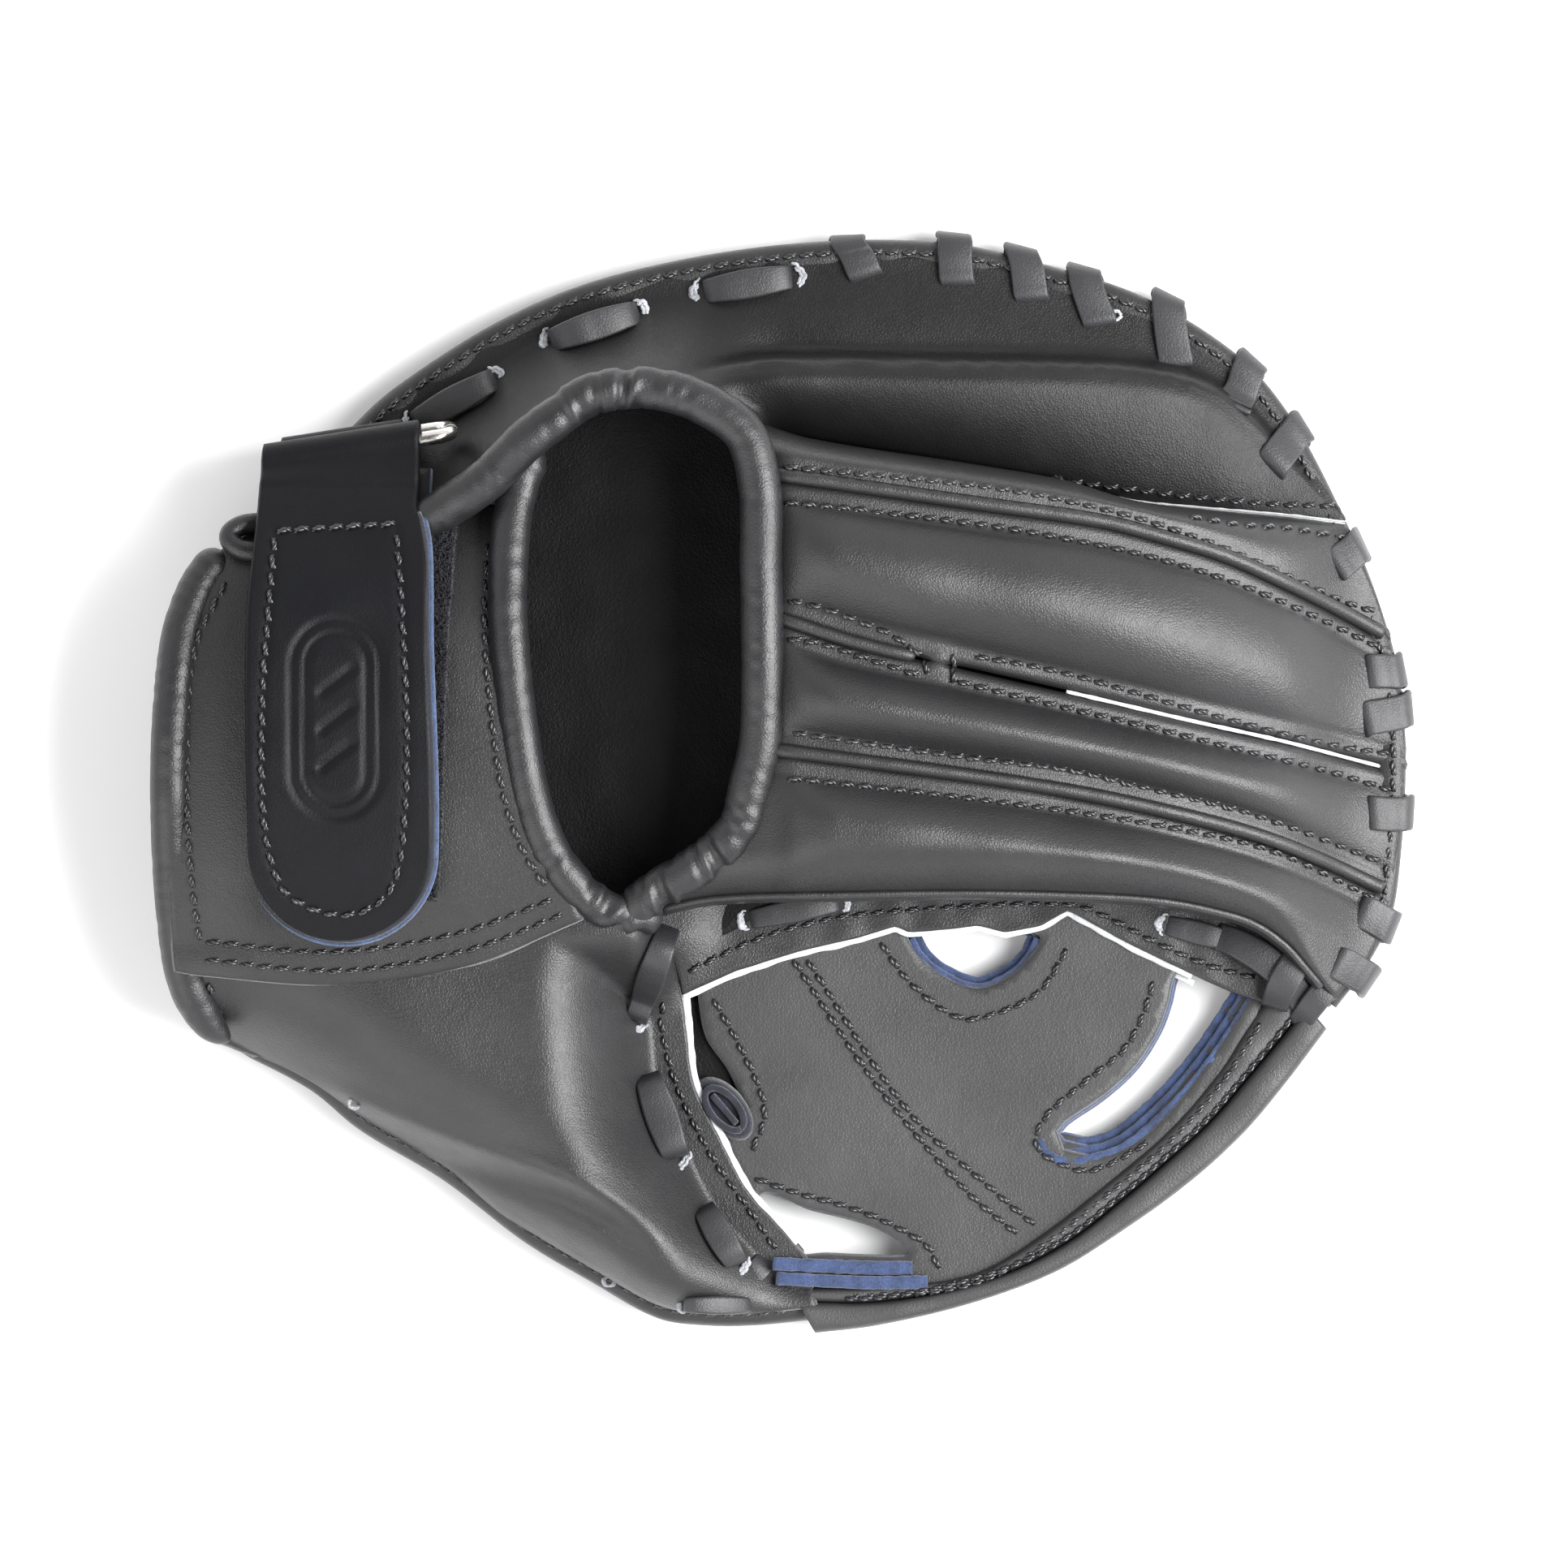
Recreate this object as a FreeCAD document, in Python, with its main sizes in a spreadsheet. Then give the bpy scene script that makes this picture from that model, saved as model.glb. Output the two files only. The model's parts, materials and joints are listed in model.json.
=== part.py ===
import FreeCAD, Part
import math
import os

import Sketcher  # noqa: F401  (registers the sketch object type)

# A flat training catcher's mitt for the left hand, lying palm down.
# +X points to the fingertips, +Y to the little finger, +Z out of the back of the hand.
# The floor and the palm face are z = 0. Millimetres and degrees throughout.

Vector = FreeCAD.Vector
Placement = FreeCAD.Placement
Rotation = FreeCAD.Rotation
UP = Vector(0, 0, 1)

# Driving dimensions: alias, value.
SIZES = [
    ("mitt_length", 272.0),
    ("layer_gap", 0.3),
    ("sole_leather", 3.0),
    ("sole_wall", 6.2),
    ("shell_leather", 2.6),
    ("lining_leather", 1.3),
    ("felt_layer", 3.8),
    ("web_leather", 2.4),
    ("web_level", 4.8),
    ("divider_leather", 1.4),
    ("welt_leather", 1.6),
    ("opening_roll_radius", 4.5),
    ("wrist_roll_radius", 4.2),
    ("rim_roll_radius", 3.2),
    ("rim_level", 8.0),
    ("heel_level", 3.4),
    ("opening_level", 46.0),
    ("wrist_side_level", 42.0),
    ("loop_level", 42.5),
    ("loop_radius", 1.8),
    ("web_tube_radius", 5.0),
    ("web_fold_radius", 3.6),
    ("web_tube_level", 8.4),
    ("lace_width", 7.6),
    ("lace_leather", 1.8),
    ("strap_width", 37.0),
    ("strap_leather", 2.6),
    ("patch_pile", 1.3),
    ("ring_wire_radius", 1.4),
    ("ring_width", 46.0),
    ("ring_depth", 10.2),
    ("ring_clearance", 0.35),
    ("hinge_offset", 50.0),
    ("hinge_slope", 0.045),
]
DRAWN_LENGTH = 272.0

doc = FreeCAD.newDocument("CatchersMitt")
sheet = doc.addObject("Spreadsheet::Sheet", "Sizes")
for row, (alias, value) in enumerate(SIZES, start=1):
    sheet.set(f"A{row}", alias)
    sheet.set(f"B{row}", str(value))
    sheet.setAlias(f"B{row}", alias)
doc.recompute()

subparts = []


def size(alias):
    return float(sheet.get(alias))


def scaled(points):
    """Plan points drawn for the standard length, at the sheet's length."""
    ratio = size("mitt_length") / DRAWN_LENGTH
    return [Vector(x * ratio, y * ratio, 0) for x, y in points]


def fold_y(x):
    """The fold line between the finger side and the thumb side, in plan."""
    return -size("hinge_offset") + size("hinge_slope") * x


def spline(points):
    curve = Part.BSplineCurve()
    curve.interpolate(points)
    return curve


def inset(points, distance):
    """The same line moved to its right-hand side, seen from above."""
    moved = []
    last = len(points) - 1
    for i, point in enumerate(points):
        along = points[min(i + 1, last)] - points[max(i - 1, 0)]
        along.normalize()
        moved.append(point + Vector(along.y, -along.x, 0) * distance)
    return moved


def keep(obj, label):
    obj.Label = label
    subparts.append(obj)
    return obj


# ---------------------------------------------------------------- feature helpers


def new_body(label):
    return keep(doc.addObject("PartDesign::Body", "body_" + label), label)


def origin_plane(body, role):
    return next(f for f in body.Origin.OriginFeatures if f.Role == role)


def body_sketch(body, role, offset, geometry):
    """A sketch on one of the body's own planes, offset by an expression."""
    sketch = body.newObject("Sketcher::SketchObject", body.Name + "_sketch")
    sketch.AttachmentSupport = (origin_plane(body, role), [""])
    sketch.MapMode = "FlatFace"
    sketch.setExpression("AttachmentOffset.Base.z", offset)
    sketch.addGeometry(geometry)
    return sketch


def closed_outline(*runs):
    """Splines and straight runs end to end, closed by a last straight line."""
    geometry = []
    for run in runs:
        if geometry:
            start = geometry[-1].EndPoint
            if start.distanceToPoint(run[0]) > 1e-6:
                geometry.append(Part.LineSegment(start, run[0]))
        smooth = len(run) > 2
        geometry.append(spline(run) if smooth else Part.LineSegment(run[0], run[1]))
    first = geometry[0].StartPoint
    if geometry[-1].EndPoint.distanceToPoint(first) > 1e-6:
        geometry.append(Part.LineSegment(geometry[-1].EndPoint, first))
    return geometry


def pad(body, level, thickness, geometry):
    sketch = body_sketch(body, "XY_Plane", level, geometry)
    feature = body.newObject("PartDesign::Pad", body.Name + "_pad")
    feature.Profile = sketch
    feature.setExpression("Length", thickness)
    body.Tip = feature
    return feature


def pocket_up(body, level, depth, geometry):
    """Removes what stands above the level, inside the outline."""
    sketch = body_sketch(body, "XY_Plane", level, geometry)
    feature = body.newObject("PartDesign::Pocket", body.Name + "_pocket")
    feature.Profile = sketch
    feature.Reversed = True
    feature.setExpression("Length", depth)
    body.Tip = feature
    return feature


def sheet_piece(label, level, thickness, geometry, windows=()):
    """A flat layer of hide or felt, with any windows cut through it."""
    body = new_body(label)
    pad(body, level, thickness, geometry)
    for window in windows:
        pocket_up(body, level, thickness, window)
    return body


def band_section(outer, drop):
    """An arc through three (y, z) points, and the same arc moved by drop."""
    top = [Vector(y, z, 0) for y, z in outer]
    low = [point + Vector(drop[0], drop[1], 0) for point in top]
    return [
        Part.Arc(*top),
        Part.LineSegment(top[2], low[2]),
        Part.Arc(low[2], low[1], low[0]),
        Part.LineSegment(low[0], top[0]),
    ]


def wall_section(y, low, high, thickness):
    half = thickness / 2
    corners = [
        Vector(y - half, low, 0),
        Vector(y + half, low, 0),
        Vector(y + half, high, 0),
        Vector(y - half, high, 0),
    ]
    return [Part.LineSegment(corners[i], corners[(i + 1) % 4]) for i in range(4)]


def loft(label, stations):
    """A skin through cross sections that stand at x = station."""
    body = new_body(label)
    sketches = []
    for x, geometry in stations:
        offset = f"Sizes.mitt_length * {x / DRAWN_LENGTH:.6f}"
        sketches.append(body_sketch(body, "YZ_Plane", offset, geometry))
    feature = body.newObject("PartDesign::AdditiveLoft", body.Name + "_loft")
    feature.Profile = (sketches[0], [""])
    feature.Sections = [(sketch, [""]) for sketch in sketches[1:]]
    body.Tip = feature
    return body


def crowned_skin(label, stations, thickness, lower=0.0):
    """A skin over stations of (x, three (y, z) points of its outer face)."""
    sections = []
    for x, outer in stations:
        dropped = [(y, z - lower) for y, z in outer]
        sections.append((x, band_section(dropped, (0, -thickness))))
    return loft(label, sections)


def roll(label, points, level, radius):
    """A round roll of hide along a level spline."""
    path = doc.addObject("Sketcher::SketchObject", label + "_path")
    path.addGeometry([spline(points)])
    path.setExpression("Placement.Base.z", level)
    doc.recompute()
    edge = path.Shape.Edges[0]
    start = edge.valueAt(edge.FirstParameter)
    heading = edge.tangentAt(edge.FirstParameter)
    ring = doc.addObject("Part::Circle", label + "_section")
    ring.setExpression("Radius", radius)
    ring.Placement = Placement(start, Rotation(UP, heading))
    sweep = doc.addObject("Part::Sweep", label + "_sweep")
    sweep.Sections = [ring]
    sweep.Spine = (path, ["Edge1"])
    sweep.Solid = True
    return keep(sweep, label)


def lace_run(name, start, end):
    """One visible run of flat lace between two points, as a bound box."""
    box = doc.addObject("Part::Box", name)
    along = end - start
    box.Length = along.Length
    box.setExpression("Width", "Sizes.lace_width")
    box.setExpression("Height", "Sizes.lace_leather")
    flat = math.hypot(along.x, along.y)
    turn = Rotation(UP, math.degrees(math.atan2(along.y, along.x)))
    tilt = Rotation(Vector(0, 1, 0), -math.degrees(math.atan2(along.z, flat)))
    spin = turn.multiply(tilt)
    side = spin.multVec(Vector(0, size("lace_width") / 2, 0))
    box.Placement = Placement(start - side, spin)
    return box


def group(label, members):
    compound = doc.addObject("Part::Compound", label + "_group")
    compound.Links = members
    return keep(compound, label)


def lace_group(label, runs):
    members = []
    for i, (start, end) in enumerate(runs):
        members.append(lace_run(f"{label}_{i}", Vector(*start), Vector(*end)))
    return group(label, members)


# ---------------------------------------------------------------- plan lines

# The outer edge, clockwise from the heel's thumb corner to the index fingertip.
HEEL = [(-126.5, -54.5), (-132, -31), (-133.8, -2), (-131.5, 22), (-125, 41), (-111, 60)]
RIM = [
    (-96, 74), (-84.5, 85), (-59, 101.5), (-35, 110.5), (0, 116.6), (34, 117), (56.4, 112.3),
    (78.4, 105), (98.5, 92.3), (110.5, 78), (121.6, 57), (130, 35), (133.6, 17.9), (133.6, -8.9),
    (129.7, -29), (124, -41.5),
]
# The fingers' edge along the web, from the index fingertip back to the crotch.
WEB_EDGE = [
    (103.3, -42.4), (81.2, -35), (64.4, -27), (41, -25.7), (15, -28.4), (-7.2, -34.1), (-22, -43),
]
# The thumb's outer edge, from its tip back to the heel, and its edge along the web.
THUMB_RIM = [
    (5.4, -114.6), (-6.3, -116.6), (-25, -114.8), (-41, -107.8), (-56.4, -98.6), (-73.7, -85.6),
    (-88, -76), (-102.9, -66.6), (-114.5, -61.8),
]
THUMB_EDGE = [(-21.6, -51.4), (-18.6, -67.2), (-8.2, -87.9), (2.4, -99.9)]
# The web tube's outer edge, from the index side to the thumb side.
TUBE_EDGE = [
    (117, -53.5), (108.5, -64.8), (87, -86.8), (71.6, -97.8), (58.5, -105.7), (40.4, -112.4),
    (20.5, -117.1), (7, -118.8),
]
# Seams across the back at the finger stations; z is the height of the seam.
STATIONS = [0.8, 40, 80, 106, 121.4]
KNUCKLE_LINE = [76.8, 69.0, 59.5, 49.8, 40.5]
RING_SEAM = [65.0, 59.7, 52.5, 43.4, 35.0]
MIDDLE_SEAM = [34.9, 24.4, 15.3, 9.6, 4.5]
INDEX_SEAM = [6.3, 1.3, -5.8, -12.5, -20.5]
INDEX_EDGE = [-25.8, -23.6, -24.8, -30.5, -29.0]
SEAM_HEIGHT = [47.0, 45.0, 38.0, 27.0, 12.0]
CROWN = [3.5, 4.0, 4.5, 4.0, 2.0]
# The little finger's panel: x, then (y, z) at the rim, over the ridge and at the inner edge.
PINKY = [
    (-86, [(74.6, 9.2), (70.5, 11.5), (66, 14.5)]),
    (-70, [(85.0, 9.2), (79, 13.5), (72.5, 18)]),
    (-58, [(93.4, 9.2), (87, 18.5), (79.5, 28)]),
    (-30, [(103.4, 9.2), (98, 21), (91, 34)]),
    (-14, [(106.5, 9.2), (97.5, 23), (86.5, 30)]),
    (2, [(108.2, 9.2), (96, 24.5), (78.6, 25.5)]),
    (20, [(109.0, 9.2), (94, 25.5), (75.0, 24.0)]),
    (40, [(108.4, 9.2), (92, 26), (70.8, 22)]),
    (60, [(103.2, 9.2), (88, 24), (66.8, 20.5)]),
    (80, [(95.6, 9.2), (81, 21.5), (62.0, 19.5)]),
    (96, [(84.0, 9.2), (73, 18.5), (56.6, 18.5)]),
    (108, [(69.5, 9.2), (61, 15.5), (51.4, 17.5)]),
]
PINKY_LINED = [
    (6, [(96, 16.5), (89, 19.8), (80.5, 20.2)]),
    (40, [(96, 18.5), (85, 21.4), (72.5, 18.4)]),
    (76, [(86, 15.0), (76, 17.0), (64.5, 14.6)]),
]
# The wrist band's profile across the wrist, (y, z), and its ends along X.
WRIST_ARC = [(-36, 36.5), (12, 44.5), (62, 31)]


def offset_line(points, distance):
    return inset(scaled(points), distance)


def fold_points(x_start, x_end, gap):
    """Two points of the fold line, gap away from it on the finger side."""
    return [Vector(x, fold_y(x) + gap, 0) for x in (x_start, x_end)]


# ---------------------------------------------------------------- palm side

FOLD_GAP = 0.4
THIN_HEEL = 10.0
RIM_LAND = 7.0
WALL = 3.0
FINGER_FELT_MARGINS = (11.5, 19.0)
THUMB_FELT_MARGINS = (11.5, 15.0)
FINGER_LINING_MARGIN = 24.0
THUMB_LINING_MARGIN = 16.0


def finger_side_outline(margin):
    """The finger side in plan, margin inside the rim."""
    rim = offset_line(HEEL + RIM, margin)
    web = offset_line(WEB_EDGE, margin * 0.4)
    crotch = web[-1]
    fold = fold_points(crotch.x, rim[0].x, FOLD_GAP + margin * 0.4)
    return closed_outline(rim, web, fold)


def thumb_side_outline(margin):
    """The thumb side in plan, margin inside its outer edge."""
    corners = 8 if margin < THIN_HEEL else 7
    rim = offset_line(THUMB_RIM[:corners], margin)
    edge = scaled(THUMB_EDGE)
    edge = [point - Vector(margin * 0.3 + 0.2, 0, 0) for point in edge]
    fold = fold_points(rim[-1].x, edge[0].x, -FOLD_GAP - margin * 0.4)
    edge[0] = fold[1]
    return closed_outline(rim, fold, edge)


def dish(label, outline, wall):
    """A palm hide with a raised border: a sole plate with its edge turned up."""
    body = new_body(label)
    pad(body, "0", "Sizes.sole_wall", outline(RIM_LAND))
    pocket_up(body, "Sizes.sole_leather", "Sizes.sole_wall", outline(RIM_LAND + wall))
    return body


dish("palm_shell", finger_side_outline, WALL)
dish("thumb_palm_shell", thumb_side_outline, WALL)

LOWER_FELT = "Sizes.sole_leather + Sizes.layer_gap"
UPPER_FELT = LOWER_FELT + " + Sizes.felt_layer + Sizes.layer_gap"
LINING = UPPER_FELT + " + Sizes.felt_layer + Sizes.layer_gap"
FELT = "Sizes.felt_layer"

sheet_piece("palm_felt_lower", LOWER_FELT, FELT, finger_side_outline(FINGER_FELT_MARGINS[0]))
sheet_piece("palm_felt_upper", UPPER_FELT, FELT, finger_side_outline(FINGER_FELT_MARGINS[1]))
sheet_piece("palm_lining", LINING, "Sizes.lining_leather", finger_side_outline(FINGER_LINING_MARGIN))
sheet_piece("thumb_felt_lower", LOWER_FELT, FELT, thumb_side_outline(THUMB_FELT_MARGINS[0]))
sheet_piece("thumb_felt_upper", UPPER_FELT, FELT, thumb_side_outline(THUMB_FELT_MARGINS[1]))
sheet_piece("thumb_lining", LINING, "Sizes.lining_leather", thumb_side_outline(THUMB_LINING_MARGIN))


# ---------------------------------------------------------------- back of the hand


def between_seams(low_line, high_line, margin):
    """Outer faces of a finger's back, between two seams, at each station."""
    stations = []
    for x, low, high, z, crown in zip(STATIONS, low_line, high_line, SEAM_HEIGHT, CROWN):
        a = low + margin
        b = high - margin
        stations.append((x, [(a, z), ((a + b) / 2, z + crown), (b, z)]))
    return stations


LINING_STEP = 3.2


def finger_back(name, low_line, high_line):
    """The outer hide of a finger and the lining under it."""
    shell = size("shell_leather")
    lining = size("lining_leather")
    margin = size("welt_leather") / 2 + 0.3
    faces = between_seams(low_line, high_line, margin)
    crowned_skin(name + "_back_panel", faces, shell)
    lined = between_seams(low_line, high_line, margin + LINING_STEP)
    crowned_skin(name + "_stall_lining", lined[:4], lining, shell + size("layer_gap"))


finger_back("ring", MIDDLE_SEAM, RING_SEAM)
finger_back("middle", INDEX_SEAM, MIDDLE_SEAM)
finger_back("index", INDEX_EDGE, INDEX_SEAM)
crowned_skin("pinky_back_panel", PINKY, size("shell_leather")).Tip.Ruled = True
crowned_skin("pinky_stall_lining", PINKY_LINED, size("lining_leather"))

DIVIDER_FOOT = 13.4
SEAM_LINES = [("ring", RING_SEAM), ("middle", MIDDLE_SEAM), ("index", INDEX_SEAM)]


def seam_walls(name, line):
    """The welt in a seam and the stall divider that hangs from it."""
    shell = size("shell_leather")
    welts = []
    dividers = []
    for x, y, z in zip(STATIONS, line, SEAM_HEIGHT):
        welts.append((x, wall_section(y, z - shell, z + 0.7, size("welt_leather"))))
        foot = min(DIVIDER_FOOT, z - 6)
        top = z - shell - 2.2
        dividers.append((x, wall_section(y, foot, top, size("divider_leather"))))
    loft(name + "_seam_welt", welts)
    loft(name + "_stall_divider", dividers[:4])


for seam_name, seam_line in SEAM_LINES:
    seam_walls(seam_name, seam_line)


def side_gusset(label, tops, feet, lean):
    """A side wall of hide from its top edge down to its foot, (y, z) at each station."""
    shell = size("shell_leather")
    side = -shell if lean > 0 else shell
    stations = []
    for x, top, foot in zip(STATIONS, tops, feet):
        middle = ((top[0] + foot[0]) / 2 + lean, (top[1] + foot[1]) / 2 + abs(lean))
        stations.append((x, band_section([top, middle, foot], (side, 0))))
    return loft(label, stations)


# The ring finger's wall goes down to the little finger, the index finger's to the web.
RING_WALL_STEP = 3.9
ring_tops = [(y + RING_WALL_STEP, z - 0.6) for y, z in zip(RING_SEAM, SEAM_HEIGHT)]
ring_feet = [(y - 1.6, z) for y, z in zip(KNUCKLE_LINE[:4], [27, 24, 20, 17])]
side_gusset("ring_side_gusset", ring_tops, ring_feet, 1.2)
INDEX_FOOT = 14.6
index_tops = [(y - 0.4, z - 3.2) for y, z in zip(INDEX_EDGE, SEAM_HEIGHT)]
index_feet = [(y - 1.0, INDEX_FOOT) for y in INDEX_EDGE[:4]]
side_gusset("index_side_gusset", index_tops, index_feet, -0.6)

# The wrist band and what lies on it share one arc, each raised above the last.
STRAP_X = (-114.0, -77.0)


def wrist_arc(raise_by, y_low, y_high):
    """Three (y, z) points of the wrist arc, raised, between two y values."""
    circle = Part.Arc(*[Vector(y, z + raise_by, 0) for y, z in WRIST_ARC]).toShape().Curve
    points = []
    for y in (y_low, (y_low + y_high) / 2, y_high):
        rise = math.sqrt(circle.Radius**2 - (y - circle.Center.x) ** 2)
        points.append((y, circle.Center.y + rise))
    return points


def arc_strip(label, x_range, raise_by, thickness, y_low, y_high):
    """A strip that follows the wrist arc between two y values."""
    face = wrist_arc(raise_by, y_low, y_high)
    section = band_section(face, (0, -thickness))
    return loft(label, [(x, section) for x in x_range])


shell_hide = size("shell_leather")
lining_hide = size("lining_leather")
gap = size("layer_gap")
pile = size("patch_pile")
strap_hide = size("strap_leather")

WRIST_X = (-126.8, -65.4)
LOWER_STRAP_HIDE = 2.0
arc_strip("wrist_back_panel", WRIST_X, 0.0, shell_hide, -35.0, 62.0)
arc_strip("wrist_lining", WRIST_X, -shell_hide - gap, lining_hide, -33.0, 60.0)
level = gap + LOWER_STRAP_HIDE
arc_strip("lower_strap", (-108.0, -80.0), level, LOWER_STRAP_HIDE, -20.0, 64.0)
level += gap + pile
arc_strip("loop_patch", (-106.0, -73.0), level, pile, -26.0, 52.0)
level += gap + pile
arc_strip("hook_patch", (-108.0, -83.0), level, pile, -24.0, 40.0)
FLAP_LEVEL = level + gap + strap_hide

# Thumb side of the back: the fixed base above the fold and the moving panel below it.
THUMB_BASE = [
    (-124, [(-54.8, 21), (-46, 30.5), (-36.6, 34.6)]),
    (-92, [(-53.4, 29), (-45, 34), (-36.6, 36.6)]),
    (-60, [(-51.9, 31), (-43, 34.5), (-35.0, 36.0)]),
    (-28, [(-50.5, 31), (-42, 34), (-33.5, 35.0)]),
]
THUMB_BACK = [
    (-110, [(-57.6, 14.0), (-56.9, 18), (-56.1, 21)]),
    (-92, [(-64.5, 9.4), (-60.5, 20), (-55.0, 27.6)]),
    (-60, [(-87.5, 9.4), (-73, 26), (-53.5, 31)]),
    (-31, [(-103.4, 9.4), (-80, 28), (-52.5, 31)]),
    (-20, [(-106.8, 9.4), (-86, 25), (-66.0, 26)]),
    (-8, [(-108.2, 9.4), (-99, 17), (-90.5, 18)]),
    (2, [(-106.6, 9.4), (-104, 11.5), (-101.6, 12.5)]),
]
crowned_skin("thumb_base_panel", THUMB_BASE, shell_hide)
THUMB_LINED = [
    (-88, [(-60.0, 15), (-58, 19), (-55.6, 22.5)]),
    (-60, [(-80.0, 14.5), (-70, 21.5), (-55.0, 26.5)]),
    (-34, [(-94.0, 15), (-78, 23), (-54.5, 26.5)]),
]
crowned_skin("thumb_back_panel", THUMB_BACK, shell_hide).Tip.Ruled = True
crowned_skin("thumb_stall_lining", THUMB_LINED, lining_hide)


# ---------------------------------------------------------------- rolls and bindings

OPENING_FINGER_SIDE = [
    (-70.5, 59.5), (-55.7, 73.5), (-42.7, 83), (-27, 85.5), (-12.1, 78.5), (-5.3, 64.5), (-4.6, 40),
    (-4.4, 17), (-7.6, -2), (-14.2, -14.2), (-24.5, -21),
]
OPENING_WRIST_SIDE = [
    (-57.5, 56), (-59.6, 38), (-58.2, 20), (-55, -2), (-51, -13), (-45.7, -21), (-36, -27.5),
]
roll("opening_finger_roll", scaled(OPENING_FINGER_SIDE), "Sizes.opening_level",
     "Sizes.opening_roll_radius")
roll("opening_wrist_roll", scaled(OPENING_WRIST_SIDE), "Sizes.wrist_side_level",
     "Sizes.opening_roll_radius")


BINDING_DROP = 1.5


def arc_roll(label, x, y_low, y_high, bow, radius):
    """A roll on the wrist arc's edge: an arc in space from end to end."""
    points = [Vector(x, y, z) for y, z in wrist_arc(-BINDING_DROP, y_low, y_high)]
    points[1].x -= bow
    edge = Part.Edge(Part.Arc(*points))
    start = edge.valueAt(edge.FirstParameter)
    heading = edge.tangentAt(edge.FirstParameter)
    section = Part.Wire(Part.Edge(Part.Circle(start, heading, radius)))
    feature = doc.addObject("Part::Feature", label + "_feature")
    feature.Shape = Part.Wire(edge).makePipeShell([section], True, False)
    feature.Placement = Placement()
    return keep(feature, label)


RIM_INSET = size("rim_roll_radius")
HEEL_INSET = 3.4
arc_roll("wrist_binding", -131.3, -42.0, 44.0, 0.8, size("wrist_roll_radius"))
roll("heel_binding", offset_line(HEEL, HEEL_INSET), "Sizes.heel_level", "Sizes.rim_roll_radius")
roll("rim_binding", offset_line(RIM, RIM_INSET), "Sizes.rim_level", "Sizes.rim_roll_radius")
roll("thumb_rim_binding", offset_line(THUMB_RIM, RIM_INSET), "Sizes.rim_level",
     "Sizes.rim_roll_radius")

LOOP_PATH = [(-118.8, 49.5), (-123.4, 52.5), (-121.5, 57.4), (-116.8, 57.8)]
roll("binding_loop", scaled(LOOP_PATH), "Sizes.loop_level", "Sizes.loop_radius")


# ---------------------------------------------------------------- web

TUBE_INSET = size("web_tube_radius")
FOLD_INSET = 2 * TUBE_INSET + gap + size("web_fold_radius")
WEB_MARGIN = FOLD_INSET + size("web_fold_radius") + 6 * gap

roll("web_tube", offset_line(TUBE_EDGE, TUBE_INSET), "Sizes.web_tube_level",
     "Sizes.web_tube_radius")
roll("web_inner_fold", offset_line(TUBE_EDGE, FOLD_INSET), "Sizes.web_tube_level",
     "Sizes.web_fold_radius")

WEB_STRIP_TOP = [(-16, -42.5), (-5, -36.5), (15, -29.6), (41, -26.9), (64, -28.3), (82, -37)]
SLOT_INNER = [(82.4, -48.5), (80.2, -53.7), (75.3, -61.1), (68.6, -67.2), (60, -73.4)]
SLIT_EDGE = [(-13.5, -77.5), (-9, -74.5), (-8.6, -68), (-12, -61), (-15.5, -54.5)]
CROTCH_WINDOW = [(26.5, -33), (30.5, -38.8), (41.5, -44.3), (51, -40.5), (55.2, -34.2)]
THUMB_WINDOW = [(-1.5, -90.3), (9, -92.6), (18.9, -95.2), (25.4, -98.8), (25.8, -101.6)]
THUMB_WINDOW_FOOT = [(25.8, -101.6), (6.8, -101.6)]


def web_strip_outline():
    top = scaled(WEB_STRIP_TOP)
    return closed_outline(top, fold_points(83.0, -17.0, FOLD_GAP))


def web_outline():
    """The web below the fold; the long slot lies between it and the inner fold."""
    outer = offset_line(TUBE_EDGE, WEB_MARGIN)[3:-1]
    thumb = [point + Vector(0.5, 0, 0) for point in scaled(THUMB_EDGE)]
    return closed_outline(
        fold_points(-17.0, 83.0, -FOLD_GAP),
        scaled(SLOT_INNER),
        outer,
        [Vector(-1.0, -104.5, 0), thumb[3] + Vector(0.2, -1.5, 0)],
        [thumb[3], thumb[2]],
        scaled(SLIT_EDGE),
    )


WEB_TOP = "Sizes.web_level + Sizes.web_leather + Sizes.layer_gap"
window_one = closed_outline(scaled(CROTCH_WINDOW))
window_two = closed_outline(scaled(THUMB_WINDOW), scaled(THUMB_WINDOW_FOOT))
for side, side_level in (("palm", "Sizes.web_level"), ("back", WEB_TOP)):
    leather = "Sizes.web_leather"
    sheet_piece(f"web_{side}_strip", side_level, leather, web_strip_outline(), [window_one])
    sheet_piece(f"web_{side}_layer", side_level, leather, web_outline(), [window_two])


# ---------------------------------------------------------------- laces

# Where laces wrap the rim, and the height band they enclose.
WRAP_PLACES = [
    (14.4, 118), (36.9, 118), (51.5, 115), (64.9, 111), (83.5, 104), (101.7, 90), (112.7, 75),
    (124.5, 50), (132.5, 24.2), (134, 13), (134, -6.3), (129, -29.9), (126, -37.5),
]
WRAP_REACH = 6.6


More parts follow.
